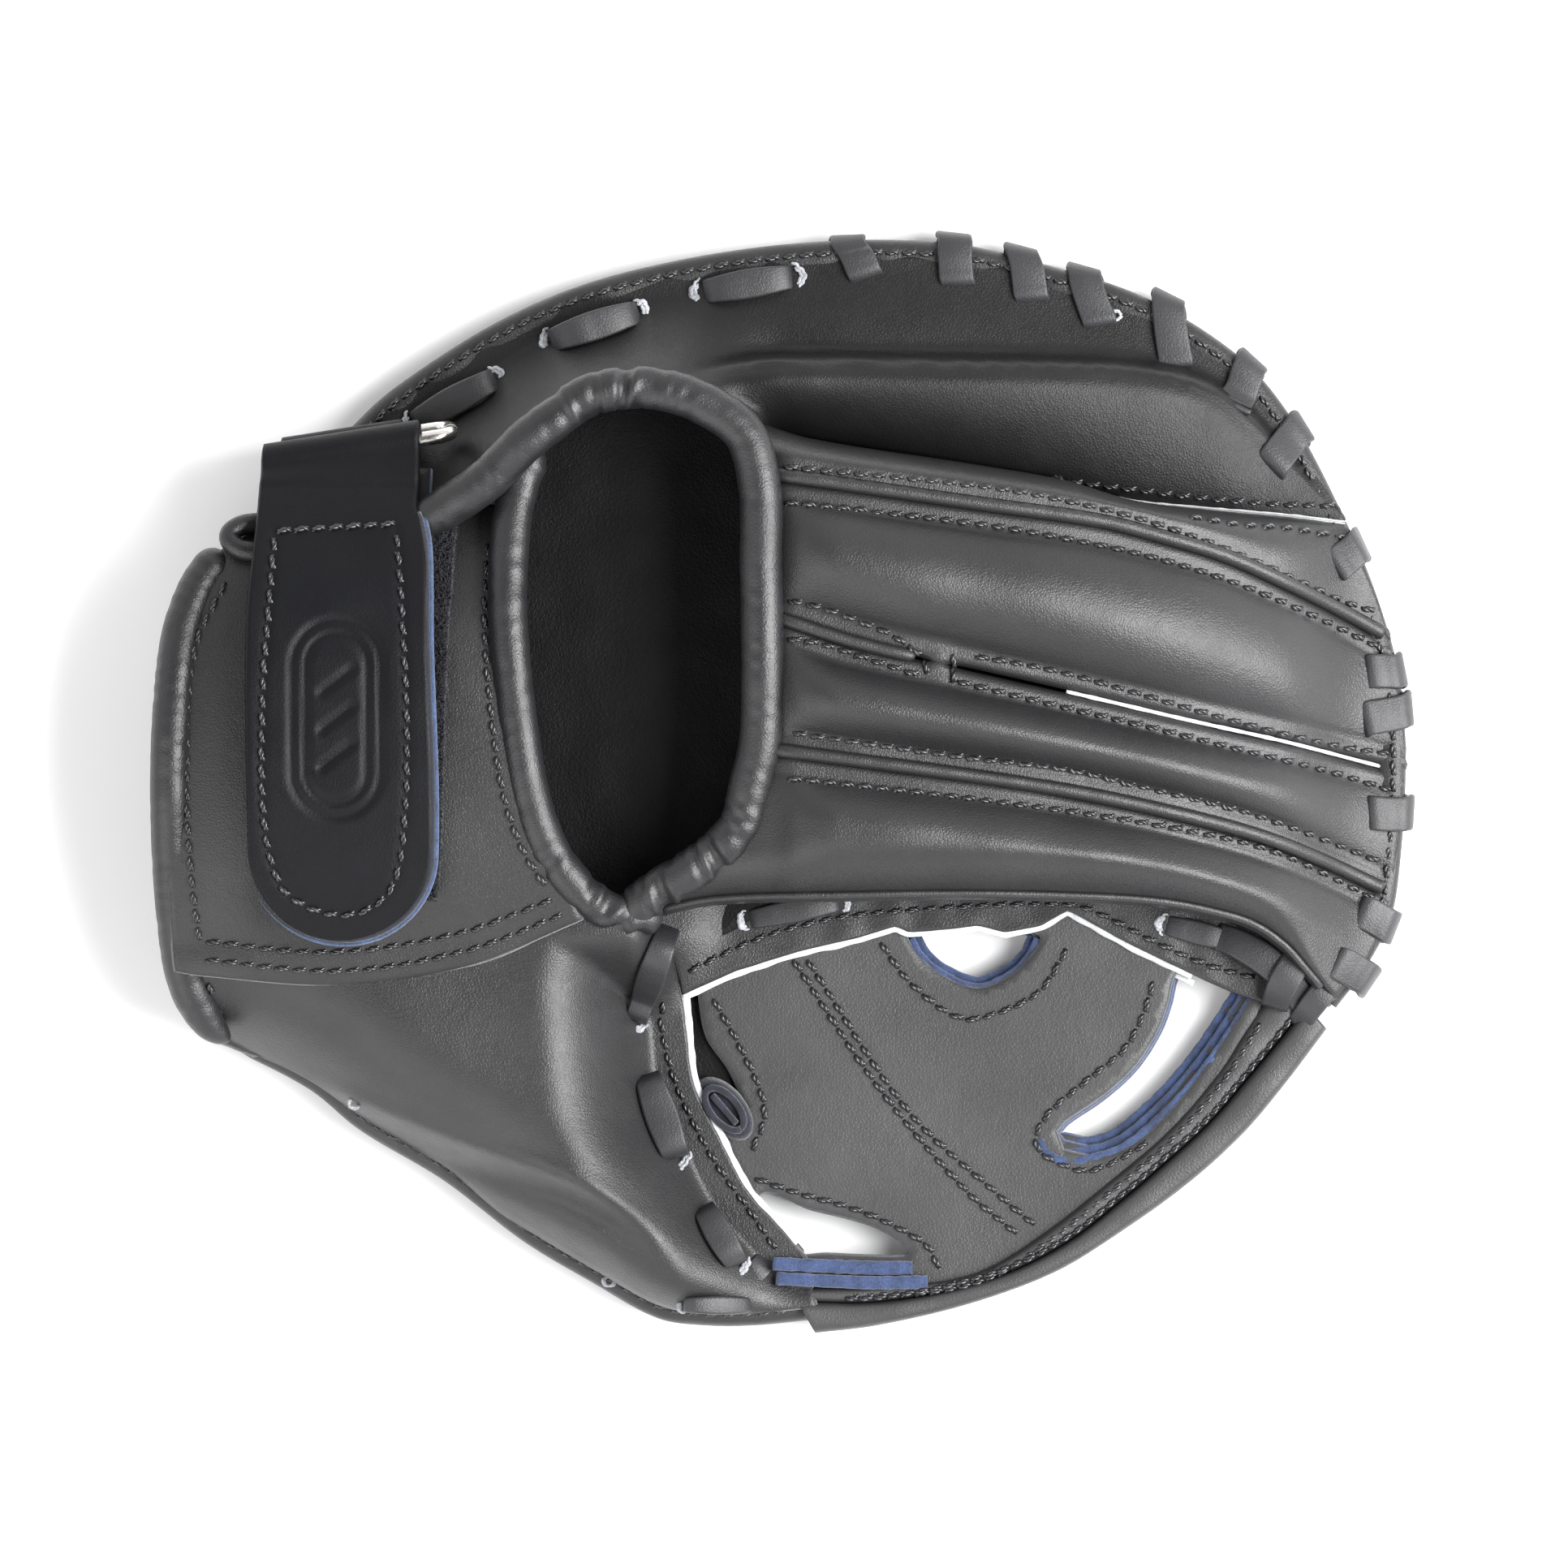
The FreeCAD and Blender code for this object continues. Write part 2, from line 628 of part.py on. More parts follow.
def rim_wrap(index, place, rim):
    """One turn of lace around the rim: a box with the roll's room cut out."""
    parameter = rim.parameter(Vector(place[0], place[1], 0))
    point = rim.value(parameter)
    along = rim.tangent(parameter)[0]
    spin = Rotation(UP, math.degrees(math.atan2(along.y, along.x)))
    lace = size("lace_leather")
    room = size("rim_roll_radius") + gap
    outer = doc.addObject("Part::Box", f"wrap_outer_{index}")
    inner = doc.addObject("Part::Box", f"wrap_inner_{index}")
    outer.setExpression("Length", "Sizes.lace_width")
    outer.Width = WRAP_REACH + gap + lace
    outer.Height = 2 * (room + lace)
    inner.setExpression("Length", "Sizes.lace_width + 2")
    inner.Width = WRAP_REACH + gap + 1
    inner.Height = 2 * room
    base = point + UP * size("rim_level")
    half = size("lace_width") / 2
    outer_corner = Vector(-half, -WRAP_REACH, -room - lace)
    inner_corner = Vector(-half - 1, -WRAP_REACH - 1, -room)
    outer.Placement = Placement(base + spin.multVec(outer_corner), spin)
    inner.Placement = Placement(base + spin.multVec(inner_corner), spin)
    cut = doc.addObject("Part::Cut", f"wrap_{index}")
    cut.Base = outer
    cut.Tool = inner
    return cut


rim_curve = spline(scaled(RIM))
group("rim_wrap_laces", [rim_wrap(i, p, rim_curve) for i, p in enumerate(WRAP_PLACES)])

lace_group("running_lace", [
    ((-17.5, 101.5, 24.2), (1.9, 103.5, 23.2)),
    ((-49.9, 91.5, 29.4), (-31.9, 96.5, 29.4)),
    ((-77.0, 80.8, 18.2), (-65.0, 87.6, 20.6)),
])
lace_group("crotch_lace", [
    ((-24.5, -31.5, 37.6), (-30.0, -47.6, 34.4)),
    ((-3.0, -34.0, 12.2), (13.5, -31.0, 12.2)),
    ((84.0, -38.0, 12.4), (97.0, -41.0, 12.4)),
])
lace_group("thumb_lace", [
    ((-33.6, -62.5, 32.2), (-30.0, -79.0, 31.5)),
    ((-20.5, -91.0, 25.8), (-14.5, -101.0, 18.6)),
    ((-22.0, -112.0, 13.6), (-7.5, -113.4, 13.6)),
])
lace_group("web_tip_lace", [((99.0, -44.5, 14.6), (113.5, -47.5, 14.6))])


# ---------------------------------------------------------------- strap and ring

RING_TURN = 8.9
RING_LEAN = 11.0
RING_CENTRE = Vector(-94.8, 73.4, 21.2)
RING_REACH = 1.2
TAB_WIDTH = 26.0
TAB_HIDE = 1.6
TAB_TAIL = 4.5
TAB_OVERLAP = 0.9
FLAP_SLEEVE_WIDTH = 30.0
FLAP_END_Y = -34.0
FLAP_SETBACK = 1.6
FLAP_PRISM_LEVEL = 20
FLAP_PRISM_HEIGHT = 50
BAR_ROOM_LENGTH = 60
ring_spin = Rotation(UP, RING_TURN)
across = ring_spin.multVec(Vector(1, 0, 0))
lean = Rotation(across, RING_LEAN)
ring_rise = lean.multVec(UP)
depth = size("ring_depth")
tab_axis = RING_CENTRE
strap_axis = tab_axis + ring_rise * depth


def strap_ring():
    """A long oval of wire standing nearly upright: two bars and two half rounds."""
    half = (size("ring_width") - depth) / 2 - size("ring_wire_radius")
    middle = tab_axis + ring_rise * (depth / 2) + across * RING_REACH
    low = ring_rise * (-depth / 2)
    ends = across * half
    bulge = across * (half + depth / 2)
    edges = [
        Part.LineSegment(middle + low - ends, middle + low + ends).toShape(),
        Part.Arc(middle + low + ends, middle + bulge, middle - low + ends).toShape(),
        Part.LineSegment(middle - low + ends, middle - low - ends).toShape(),
        Part.Arc(middle - low - ends, middle - bulge, middle + low - ends).toShape(),
    ]
    spine = doc.addObject("Part::Feature", "ring_spine")
    spine.Shape = Part.Wire(edges)
    section = doc.addObject("Part::Circle", "ring_section")
    section.setExpression("Radius", "Sizes.ring_wire_radius")
    section.Placement = Placement(middle + low - ends, Rotation(UP, across))
    sweep = doc.addObject("Part::Sweep", "ring_sweep")
    sweep.Sections = [section]
    sweep.Spine = (spine, ["Edge1", "Edge2", "Edge3", "Edge4"])
    sweep.Solid = True
    return keep(sweep, "strap_ring")


def bar_sleeve(name, centre, width, thickness):
    """A sleeve of hide around one bar of the ring, centred on the bar."""
    bore = size("ring_wire_radius") + size("ring_clearance")
    outer = doc.addObject("Part::Cylinder", name + "_outer")
    inner = doc.addObject("Part::Cylinder", name + "_bore")
    outer.Radius = bore + thickness
    inner.Radius = bore
    outer.Height = width
    inner.Height = width + 2
    spin = Rotation(UP, across)
    outer.Placement = Placement(centre - across * (width / 2), spin)
    inner.Placement = Placement(centre - across * (width / 2 + 1), spin)
    cut = doc.addObject("Part::Cut", name)
    cut.Base = outer
    cut.Tool = inner
    return cut


def ring_tab():
    """The tab that holds the ring: a sleeve on the lower bar and a short tail."""
    sleeve = bar_sleeve("tab_sleeve", tab_axis, TAB_WIDTH, TAB_HIDE)
    bore = size("ring_wire_radius") + size("ring_clearance")
    tail = doc.addObject("Part::Box", "tab_tail")
    tail.Length = TAB_WIDTH
    tail.Width = 2 * TAB_HIDE
    tail.Height = TAB_TAIL
    corner = Vector(-TAB_WIDTH / 2, -TAB_HIDE, TAB_OVERLAP - bore - TAB_HIDE - TAB_TAIL)
    tail.Placement = Placement(tab_axis + ring_spin.multVec(corner), ring_spin)
    fuse = doc.addObject("Part::Fuse", "tab_fuse")
    fuse.Base = sleeve
    fuse.Tool = tail
    return keep(fuse, "ring_tab")


def strap_flap():
    """The flap: a strip on the wrist arc, rounded at its end, with a sleeve on the bar."""
    face = wrist_arc(FLAP_LEVEL, FLAP_END_Y, strap_axis.y - FLAP_SETBACK)
    strip = doc.addObject("PartDesign::Body", "flap_strip")
    section = band_section(face, (0, -strap_hide))
    sketch = body_sketch(strip, "YZ_Plane", f"{STRAP_X[0]}", section)
    length = strip.newObject("PartDesign::Pad", "flap_strip_pad")
    length.Profile = sketch
    length.setExpression("Length", "Sizes.strap_width")
    strip.Tip = length
    plan = doc.addObject("PartDesign::Body", "flap_plan")
    left, right = STRAP_X
    centre = (left + right) / 2
    half = (right - left) / 2
    foot = FLAP_END_Y + half
    ends = [strap_axis + across * (x - strap_axis.x) for x in (left, right)]
    top_left = Vector(left, ends[0].y - FLAP_SETBACK, 0)
    top_right = Vector(right, ends[1].y - FLAP_SETBACK, 0)
    outline = [
        Part.Arc(Vector(left, foot, 0), Vector(centre, FLAP_END_Y, 0), Vector(right, foot, 0)),
        Part.LineSegment(Vector(right, foot, 0), top_right),
        Part.LineSegment(top_right, top_left),
        Part.LineSegment(top_left, Vector(left, foot, 0)),
    ]
    plan_sketch = body_sketch(plan, "XY_Plane", str(FLAP_PRISM_LEVEL), outline)
    prism = plan.newObject("PartDesign::Pad", "flap_plan_pad")
    prism.Profile = plan_sketch
    prism.Length = FLAP_PRISM_HEIGHT
    plan.Tip = prism
    common = doc.addObject("Part::Common", "flap_common")
    common.Base = strip
    common.Tool = plan
    sleeve = bar_sleeve("flap_sleeve", strap_axis, FLAP_SLEEVE_WIDTH, strap_hide)
    fuse = doc.addObject("Part::Fuse", "flap_fuse")
    fuse.Base = common
    fuse.Tool = sleeve
    bar = doc.addObject("Part::Cylinder", "flap_bar_room")
    bar.setExpression("Radius", "Sizes.ring_wire_radius + Sizes.ring_clearance")
    bar.Height = BAR_ROOM_LENGTH
    bar.Placement = Placement(strap_axis - across * (BAR_ROOM_LENGTH / 2), Rotation(UP, across))
    cut = doc.addObject("Part::Cut", "flap_cut")
    cut.Base = fuse
    cut.Tool = bar
    return keep(cut, "strap_flap")


strap_ring()
ring_tab()
strap_flap()


# ---------------------------------------------------------------- check and export


def faults():
    found = []
    for obj in doc.Objects:
        if "Invalid" in obj.State or "Error" in obj.State:
            found.append(f"{obj.Label}: {obj.State}")
    for obj in subparts:
        shape = obj.Shape
        if shape.isNull() or not shape.isValid() or shape.Volume <= 0:
            found.append(f"{obj.Label}: no valid solid")
    return found


doc.recompute()
problems = faults()
if problems:
    raise RuntimeError("; ".join(problems))
os.makedirs("parts", exist_ok=True)
for obj in subparts:
    obj.Shape.exportStep(os.path.join("parts", obj.Label + ".step"))
print(f"{len(subparts)} sub-parts written")
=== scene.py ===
import json
import math

import bmesh
import bpy
import numpy as np
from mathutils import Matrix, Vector
from mathutils.bvhtree import BVHTree
from mathutils.geometry import delaunay_2d_cdt


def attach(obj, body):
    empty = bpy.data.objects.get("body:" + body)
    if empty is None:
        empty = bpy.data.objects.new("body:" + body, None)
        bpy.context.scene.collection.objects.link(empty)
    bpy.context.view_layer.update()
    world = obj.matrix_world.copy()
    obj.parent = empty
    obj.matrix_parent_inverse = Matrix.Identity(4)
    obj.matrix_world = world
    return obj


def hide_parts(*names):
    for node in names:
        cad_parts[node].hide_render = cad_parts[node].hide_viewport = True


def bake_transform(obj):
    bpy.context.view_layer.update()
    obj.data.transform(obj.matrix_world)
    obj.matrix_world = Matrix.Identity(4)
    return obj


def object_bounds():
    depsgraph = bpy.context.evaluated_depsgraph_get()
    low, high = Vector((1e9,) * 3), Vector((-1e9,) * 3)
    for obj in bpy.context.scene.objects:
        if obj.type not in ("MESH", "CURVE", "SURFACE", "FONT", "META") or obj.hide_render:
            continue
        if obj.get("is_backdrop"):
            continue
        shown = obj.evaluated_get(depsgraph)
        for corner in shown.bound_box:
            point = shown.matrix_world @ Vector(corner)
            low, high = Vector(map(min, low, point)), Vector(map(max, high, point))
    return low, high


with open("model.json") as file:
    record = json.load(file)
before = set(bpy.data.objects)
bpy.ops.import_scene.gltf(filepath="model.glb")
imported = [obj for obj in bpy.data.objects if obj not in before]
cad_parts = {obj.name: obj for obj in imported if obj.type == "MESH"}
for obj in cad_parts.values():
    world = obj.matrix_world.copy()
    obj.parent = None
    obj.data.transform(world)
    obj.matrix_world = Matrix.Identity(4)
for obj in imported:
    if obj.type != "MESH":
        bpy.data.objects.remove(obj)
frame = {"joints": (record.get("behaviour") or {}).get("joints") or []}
cad_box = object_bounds()

# A flat training catcher's mitt, palm down. Shapes are worked out in millimetres in the
# shared frame (+X fingertips, +Y little finger, +Z back of the hand) and scaled to metres.
MM = 0.001
FINGER, THUMB, RING, STRAP = "finger_side", "thumb_side", "ring", "strap"
rng = np.random.default_rng(7)


# ---------------------------------------------------------------- curves and heights


def array(points):
    return np.array(points, float)


def smooth(points, count, closed=False):
    """Even points along a Catmull-Rom curve through the given ones."""
    pts = array(points)
    if closed:
        pts = np.vstack([pts[-1:], pts, pts[:2]])
    else:
        pts = np.vstack([2 * pts[0] - pts[1], pts, 2 * pts[-1] - pts[-2]])
    fine = []
    for i in range(1, len(pts) - 2):
        a, b, c, d = pts[i - 1 : i + 3]
        reach_in = np.linalg.norm(c - b) / max(np.linalg.norm(c - a), 1e-9)
        reach_out = np.linalg.norm(c - b) / max(np.linalg.norm(d - b), 1e-9)
        m0, m1 = (c - a) * reach_in, (d - b) * reach_out
        for t in np.linspace(0, 1, 24, endpoint=False):
            h = [2 * t**3 - 3 * t**2 + 1, t**3 - 2 * t**2 + t, -2 * t**3 + 3 * t**2, t**3 - t**2]
            fine.append(h[0] * b + h[1] * m0 + h[2] * c + h[3] * m1)
    fine.append(pts[-2])
    return even(fine, count)


def even(points, count):
    """The polyline resampled at equal steps."""
    points = array(points)
    steps = np.linalg.norm(np.diff(points, axis=0), axis=1)
    run = np.concatenate([[0], np.cumsum(steps)])
    where = np.linspace(0, run[-1], count)
    return np.stack([np.interp(where, run, points[:, k]) for k in range(points.shape[1])], 1)


def length(points):
    return float(np.linalg.norm(np.diff(array(points), axis=0), axis=1).sum())


def offset(points, distance):
    """A plan line moved to its right-hand side."""
    pts = array(points)
    along = np.gradient(pts, axis=0)
    along /= np.linalg.norm(along, axis=1)[:, None]
    return pts + np.stack([along[:, 1], -along[:, 0]], 1) * distance


def ease(t):
    t = np.clip(t, 0, 1)
    return t * t * (3 - 2 * t)


def near(points, line):
    """Distance of each point from a plan polyline."""
    p = array(points)[:, None, :2]
    a, b = line[None, :-1, :2], line[None, 1:, :2]
    ab = b - a
    t = np.clip(((p - a) * ab).sum(-1) / np.maximum((ab * ab).sum(-1), 1e-9), 0, 1)
    return np.linalg.norm(a + ab * t[..., None] - p, axis=-1).min(1)


def bell(distance, width):
    """1 at no distance, falling away over a width."""
    return np.exp(-((distance / width) ** 2))


def lifted(plan, z):
    """Plan points with a height, or heights, added."""
    return np.column_stack([plan, np.broadcast_to(z, len(plan))])


def noise(points, scale, seed):
    """Smooth repeatable noise in about -1 to 1, from a few crossed waves."""
    local = np.random.default_rng(seed)
    p = array(points)[:, :2] / scale
    total = np.zeros(len(p))
    for _ in range(7):
        turn = local.uniform(0, 2 * math.pi)
        rate = local.uniform(0.6, 1.7) * 2 * math.pi
        along = p[:, 0] * math.cos(turn) + p[:, 1] * math.sin(turn)
        total += np.sin(along * rate + local.uniform(0, 6.3))
    return total / 4.0


# ---------------------------------------------------------------- mesh building


UP = (0, 0, 1)


def make_object(name, verts, faces, material, slot="black_leather", edge=None, edge_from=None, clean=True):
    """A mesh from points in millimetres; faces from edge_from on take the edge material."""
    mesh = bpy.data.meshes.new(name)
    mesh.from_pydata((array(verts) * MM).tolist(), [], faces)
    mesh.materials.append(material)
    if edge:
        mesh.materials.append(edge)
        mesh.polygons.foreach_set("material_index", [int(i >= edge_from) for i in range(len(faces))])
    if clean:
        bm = bmesh.new()
        bm.from_mesh(mesh)
        bmesh.ops.remove_doubles(bm, verts=bm.verts, dist=1e-7)
        bmesh.ops.recalc_face_normals(bm, faces=bm.faces)
        bm.to_mesh(mesh)
        bm.free()
    mesh.polygons.foreach_set("use_smooth", [True] * len(mesh.polygons))
    mesh.update()
    obj = bpy.data.objects.new(name, mesh)
    bpy.context.scene.collection.objects.link(obj)
    return obj


def grid_normals(grid):
    n = np.cross(np.gradient(grid, axis=0), np.gradient(grid, axis=1))
    n /= np.maximum(np.linalg.norm(n, axis=2, keepdims=True), 1e-9)
    return -n if n[..., 2].mean() < 0 else n


EDGE_BULGE = 0.28


def skin(grid, thickness):
    """A closed skin under a grid of points, with rounded edges."""
    nu, nv = grid.shape[:2]
    layers = [grid, grid - grid_normals(grid) * thickness]
    verts = np.concatenate([layer.reshape(-1, 3) for layer in layers])
    size = nu * nv
    faces = []
    for i in range(nu - 1):
        for j in range(nv - 1):
            a, b, c, d = i * nv + j, (i + 1) * nv + j, (i + 1) * nv + j + 1, i * nv + j + 1
            faces += [(a, b, c, d), (a + size, d + size, c + size, b + size)]
    border = [i * nv for i in range(nu)] + [(nu - 1) * nv + j for j in range(1, nv)]
    border += [i * nv + nv - 1 for i in range(nu - 2, -1, -1)] + list(range(nv - 2, 0, -1))
    centre = len(verts)
    edge = verts[border]
    lower = verts[array(border).astype(int) + size]
    out = np.cross(np.roll(edge, -1, axis=0) - np.roll(edge, 1, axis=0), edge - lower)
    out /= np.maximum(np.linalg.norm(out, axis=1, keepdims=True), 1e-9)
    flip = np.sign(((edge - grid.reshape(-1, 3).mean(0)) * out).sum(1)).mean()
    middle = (edge + lower) / 2 + out * (flip if flip else 1) * thickness * EDGE_BULGE
    m = len(border)
    edge_from = len(faces)
    for k in range(m):
        a, b = border[k], border[(k + 1) % m]
        ma, mb = centre + k, centre + (k + 1) % m
        faces += [(a, ma, mb, b), (ma, a + size, b + size, mb)]
    return np.vstack([verts, middle]), faces, edge_from


def coons(low, high, left=None, right=None, step=1.2):
    """A plan grid filling four edges: low and high run along u, left and right along v."""
    low, high = array(low), array(high)
    nu = max(int(max(length(low), length(high)) / step), 4)
    a, b = even(low, nu), even(high, nu)
    nv = max(int(np.linalg.norm(a - b, axis=1).max() / step), 4)
    u = np.linspace(0, 1, nu)[:, None, None]
    v = np.linspace(0, 1, nv)[None, :, None]
    grid = (1 - v) * a[:, None] + v * b[:, None]
    for side, line, at in ((left, 0, 1 - u), (right, -1, u)):
        if side is None:
            continue
        curve = even(side, nv)
        straight = (1 - v[0]) * a[line] + v[0] * b[line]
        shift = curve - straight
        shift -= (1 - v[0]) * shift[0] + v[0] * shift[-1]
        grid = grid + at * shift[None]
    return grid


def panel(name, plan, height, thickness, material, slot="black_leather", edge=None):
    """A skin of hide over a plan grid, lifted to a height."""
    flat = plan.reshape(-1, 2)
    grid = lifted(flat, height(flat)).reshape(*plan.shape[:2], 3)
    return sheet_of(name, grid, thickness, material, slot, edge)


def sheet_of(name, grid, thickness, material, slot="black_leather", edge=None):
    verts, faces, edge_from = skin(grid, thickness)
    return make_object(name, verts, faces, material, slot, edge, edge_from)


def triangulate(outline, holes, step):
    """Points and triangles filling an outline with holes, in plan."""
    loops = [array(outline)] + [array(h) for h in holes]
    points, edges = [], []
    for loop in loops:
        first = len(points)
        points.extend(loop.tolist())
        edges.extend([(first + i, first + (i + 1) % len(loop)) for i in range(len(loop))])
    lo, hi = loops[0].min(0), loops[0].max(0)
    rows = []
    for r, y in enumerate(np.arange(lo[1], hi[1], step * 0.87)):
        xs = np.arange(lo[0] + (step / 2 if r % 2 else 0), hi[0], step)
        rows.append(np.stack([xs, np.full(len(xs), y)], 1))
    cells = np.vstack(rows)
    cells = cells[fills(cells, loops)]
    for loop in loops:
        cells = cells[near(cells, np.vstack([loop, loop[:1]])) > step * 0.55]
    points.extend(cells.tolist())
    out = delaunay_2d_cdt([Vector(p) for p in points], edges, [], 0, 1e-6)
    verts = array([tuple(v) for v in out[0]])
    ok = fills(array([verts[list(f)].mean(0) for f in out[2]]), loops)
    return verts, [f for f, good in zip(out[2], ok) if good]


def fills(points, loops):
    """Which points lie inside the first loop and outside the others."""
    keep = inside(points, loops[0])
    for hole in loops[1:]:
        keep &= ~inside(points, hole)
    return keep


def inside(points, loop):
    """Which points lie inside a closed plan loop."""
    x, y = points[:, 0][:, None], points[:, 1][:, None]
    a, b = loop, np.roll(loop, -1, axis=0)
    crosses = (a[:, 1][None] > y) != (b[:, 1][None] > y)
    rise = np.where(b[:, 1] == a[:, 1], 1e-9, b[:, 1] - a[:, 1])
    slope = (b[:, 0] - a[:, 0])[None] * (y - a[:, 1][None]) / rise[None] + a[:, 0][None]
    return ((crosses & (x < slope)).sum(1) % 2) == 1


def slab(name, outline, holes, height, thickness, material, slot="black_leather", step=1.6, edge=None,
         bulge=0.3):
    """A sheet with holes: its upper face at a height, its lower face below it."""
    plan, tris = triangulate(outline, holes, step)
    z = height(plan)
    top, low = lifted(plan, z), lifted(plan, z - thickness)
    count = len(top)
    faces = [tuple(f) for f in tris] + [tuple(i + count for i in reversed(f)) for f in tris]
    edges = {}
    for f in tris:
        for a, b in zip(f, [*f[1:], f[0]]):
            if (b, a) in edges:
                del edges[(b, a)]
            else:
                edges[(a, b)] = True
    edge_from = len(faces)
    following = {a: b for a, b in edges}
    before = {b: a for a, b in edges}
    middle_of, middles = {}, []
    for a in following:
        if a not in before:
            continue
        run = top[following[a]] - top[before[a]]
        out = array([run[1], -run[0], 0.0])
        out /= max(np.linalg.norm(out), 1e-9)
        middle_of[a] = 2 * count + len(middles)
        middles.append((top[a] + low[a]) / 2 + out * thickness * bulge)
    for a, b in edges:
        if a in middle_of and b in middle_of:
            faces.append((b, a, middle_of[a], middle_of[b]))
            faces.append((middle_of[b], middle_of[a], a + count, b + count))
    return make_object(name, np.vstack([top, low, array(middles)]), faces, material, slot, edge, edge_from)


def frames(path, up):
    """Side and rise directions along a path."""
    along = np.gradient(path, axis=0)
    along /= np.maximum(np.linalg.norm(along, axis=1, keepdims=True), 1e-9)
    side = np.cross(along, up)
    side /= np.maximum(np.linalg.norm(side, axis=1, keepdims=True), 1e-9)
    return side, np.cross(side, along)


def tube_of(rings):
    """Points and faces of a tube through rings of points, closed at both ends."""
    n, m = rings.shape[:2]
    faces = [
        (i * m + j, i * m + (j + 1) % m, (i + 1) * m + (j + 1) % m, (i + 1) * m + j)
        for i in range(n - 1) for j in range(m)
    ]
    faces += [tuple(range(m - 1, -1, -1)), tuple((n - 1) * m + j for j in range(m))]
    return rings.reshape(-1, 3), faces


def swept_by(path, section, side, rise, scale=1.0):
    """A section swept along a path, with its directions and scale at each point."""
    sec = array(section)
    flat = sec[None, :, 0, None] * side[:, None] + sec[None, :, 1, None] * rise[:, None]
    return tube_of(path[:, None] + flat * np.broadcast_to(scale, len(path))[:, None, None])


def swept(path, section, up=UP, scale=1.0):
    """A section swept along a path that has one up direction."""
    path = array(path)
    return swept_by(path, section, *frames(path, np.broadcast_to(array(up), path.shape)), scale)


def merge(parts):
    verts, faces, base = [], [], 0
    for v, f in parts:
        verts.append(array(v))
        faces.extend([tuple(i + base for i in face) for face in f])
        base += len(v)
    return np.vstack(verts), faces


def circle(radius, sides=20, squash=1.0):
    a = np.linspace(0, 2 * math.pi, sides, endpoint=False)
    return np.stack([radius * np.cos(a), radius * squash * np.sin(a)], 1)


def flat_section(width, thick):
    """A lace's section: flat faces with rounded long edges."""
    w, t = width / 2, thick / 2
    r = t * 0.75
    pts = []
    for sx, sy, start in ((1, 1, 0), (-1, 1, 90), (-1, -1, 180), (1, -1, 270)):
        for a in (0, 30, 60, 90):
            g = math.radians(start + a)
            pts.append((sx * (w - r) + r * math.cos(g), sy * (t - r) + r * math.sin(g)))
    return pts


# ---------------------------------------------------------------- materials


class Shader:
    """Strings shader nodes together on object coordinates, in metres."""

    def __init__(self, name):
        self.material = bpy.data.materials.new(name)
        self.material.use_nodes = True
        self.tree = self.material.node_tree
        self.surface = self.tree.nodes["Principled BSDF"]
        self.place = self.node("ShaderNodeTexCoord").outputs["Object"]

    def feed(self, socket, value):
        """Links a socket to a node's output, or sets its constant."""
        if isinstance(value, bpy.types.NodeSocket):
            self.tree.links.new(value, socket)
        else:
            socket.default_value = (*value, 1) if socket.type == "RGBA" else value

    def node(self, kind, inputs=None, **settings):
        made = self.tree.nodes.new(kind)
        for key, value in settings.items():
            setattr(made, key, value)
        for key, value in (inputs or {}).items():
            self.feed(made.inputs[key], value)
        return made

    def noise(self, per_metre, detail=4.0, rough=0.6, twist=0.0):
        inputs = {
            "Vector": self.place, "Scale": per_metre, "Detail": detail, "Roughness": rough,
            "Distortion": twist,
        }
        return self.node("ShaderNodeTexNoise", inputs).outputs["Fac"]

    def cells(self, per_metre, feature="DISTANCE_TO_EDGE"):
        inputs = {"Vector": self.place, "Scale": per_metre}
        return self.node("ShaderNodeTexVoronoi", inputs, feature=feature).outputs["Distance"]

    def ramp(self, value, stops):
        made = self.node("ShaderNodeValToRGB", {"Fac": value})
        places = made.color_ramp.elements
        places[0].position, places[1].position = stops[0][0], stops[-1][0]
        for at, _ in stops[1:-1]:
            places.new(at)
        for element, (_, colour) in zip(places, stops):
            element.color = (*colour, 1)
        return made.outputs["Color"]

    def levels(self, value, low, high, to_low=0.0, to_high=1.0):
        inputs = {
            "Value": value, "From Min": low, "From Max": high, "To Min": to_low, "To Max": to_high,
        }
        return self.node("ShaderNodeMapRange", inputs).outputs["Result"]

    def math(self, operation, a, b):
        return self.node("ShaderNodeMath", {0: a, 1: b}, operation=operation).outputs[0]

    def mix(self, factor, a, b):
        return self.node("ShaderNodeMix", {0: factor, 6: a, 7: b}, data_type="RGBA").outputs[2]

    def set(self, **values):
        for key, value in values.items():
            self.feed(self.surface.inputs[key.replace("_", " ")], value)

    def bump(self, height, strength, distance):
        inputs = {"Height": height, "Strength": strength, "Distance": distance}
        self.set(Normal=self.node("ShaderNodeBump", inputs).outputs["Normal"])


def shade(colour, factor):
    return tuple(c * factor for c in colour)


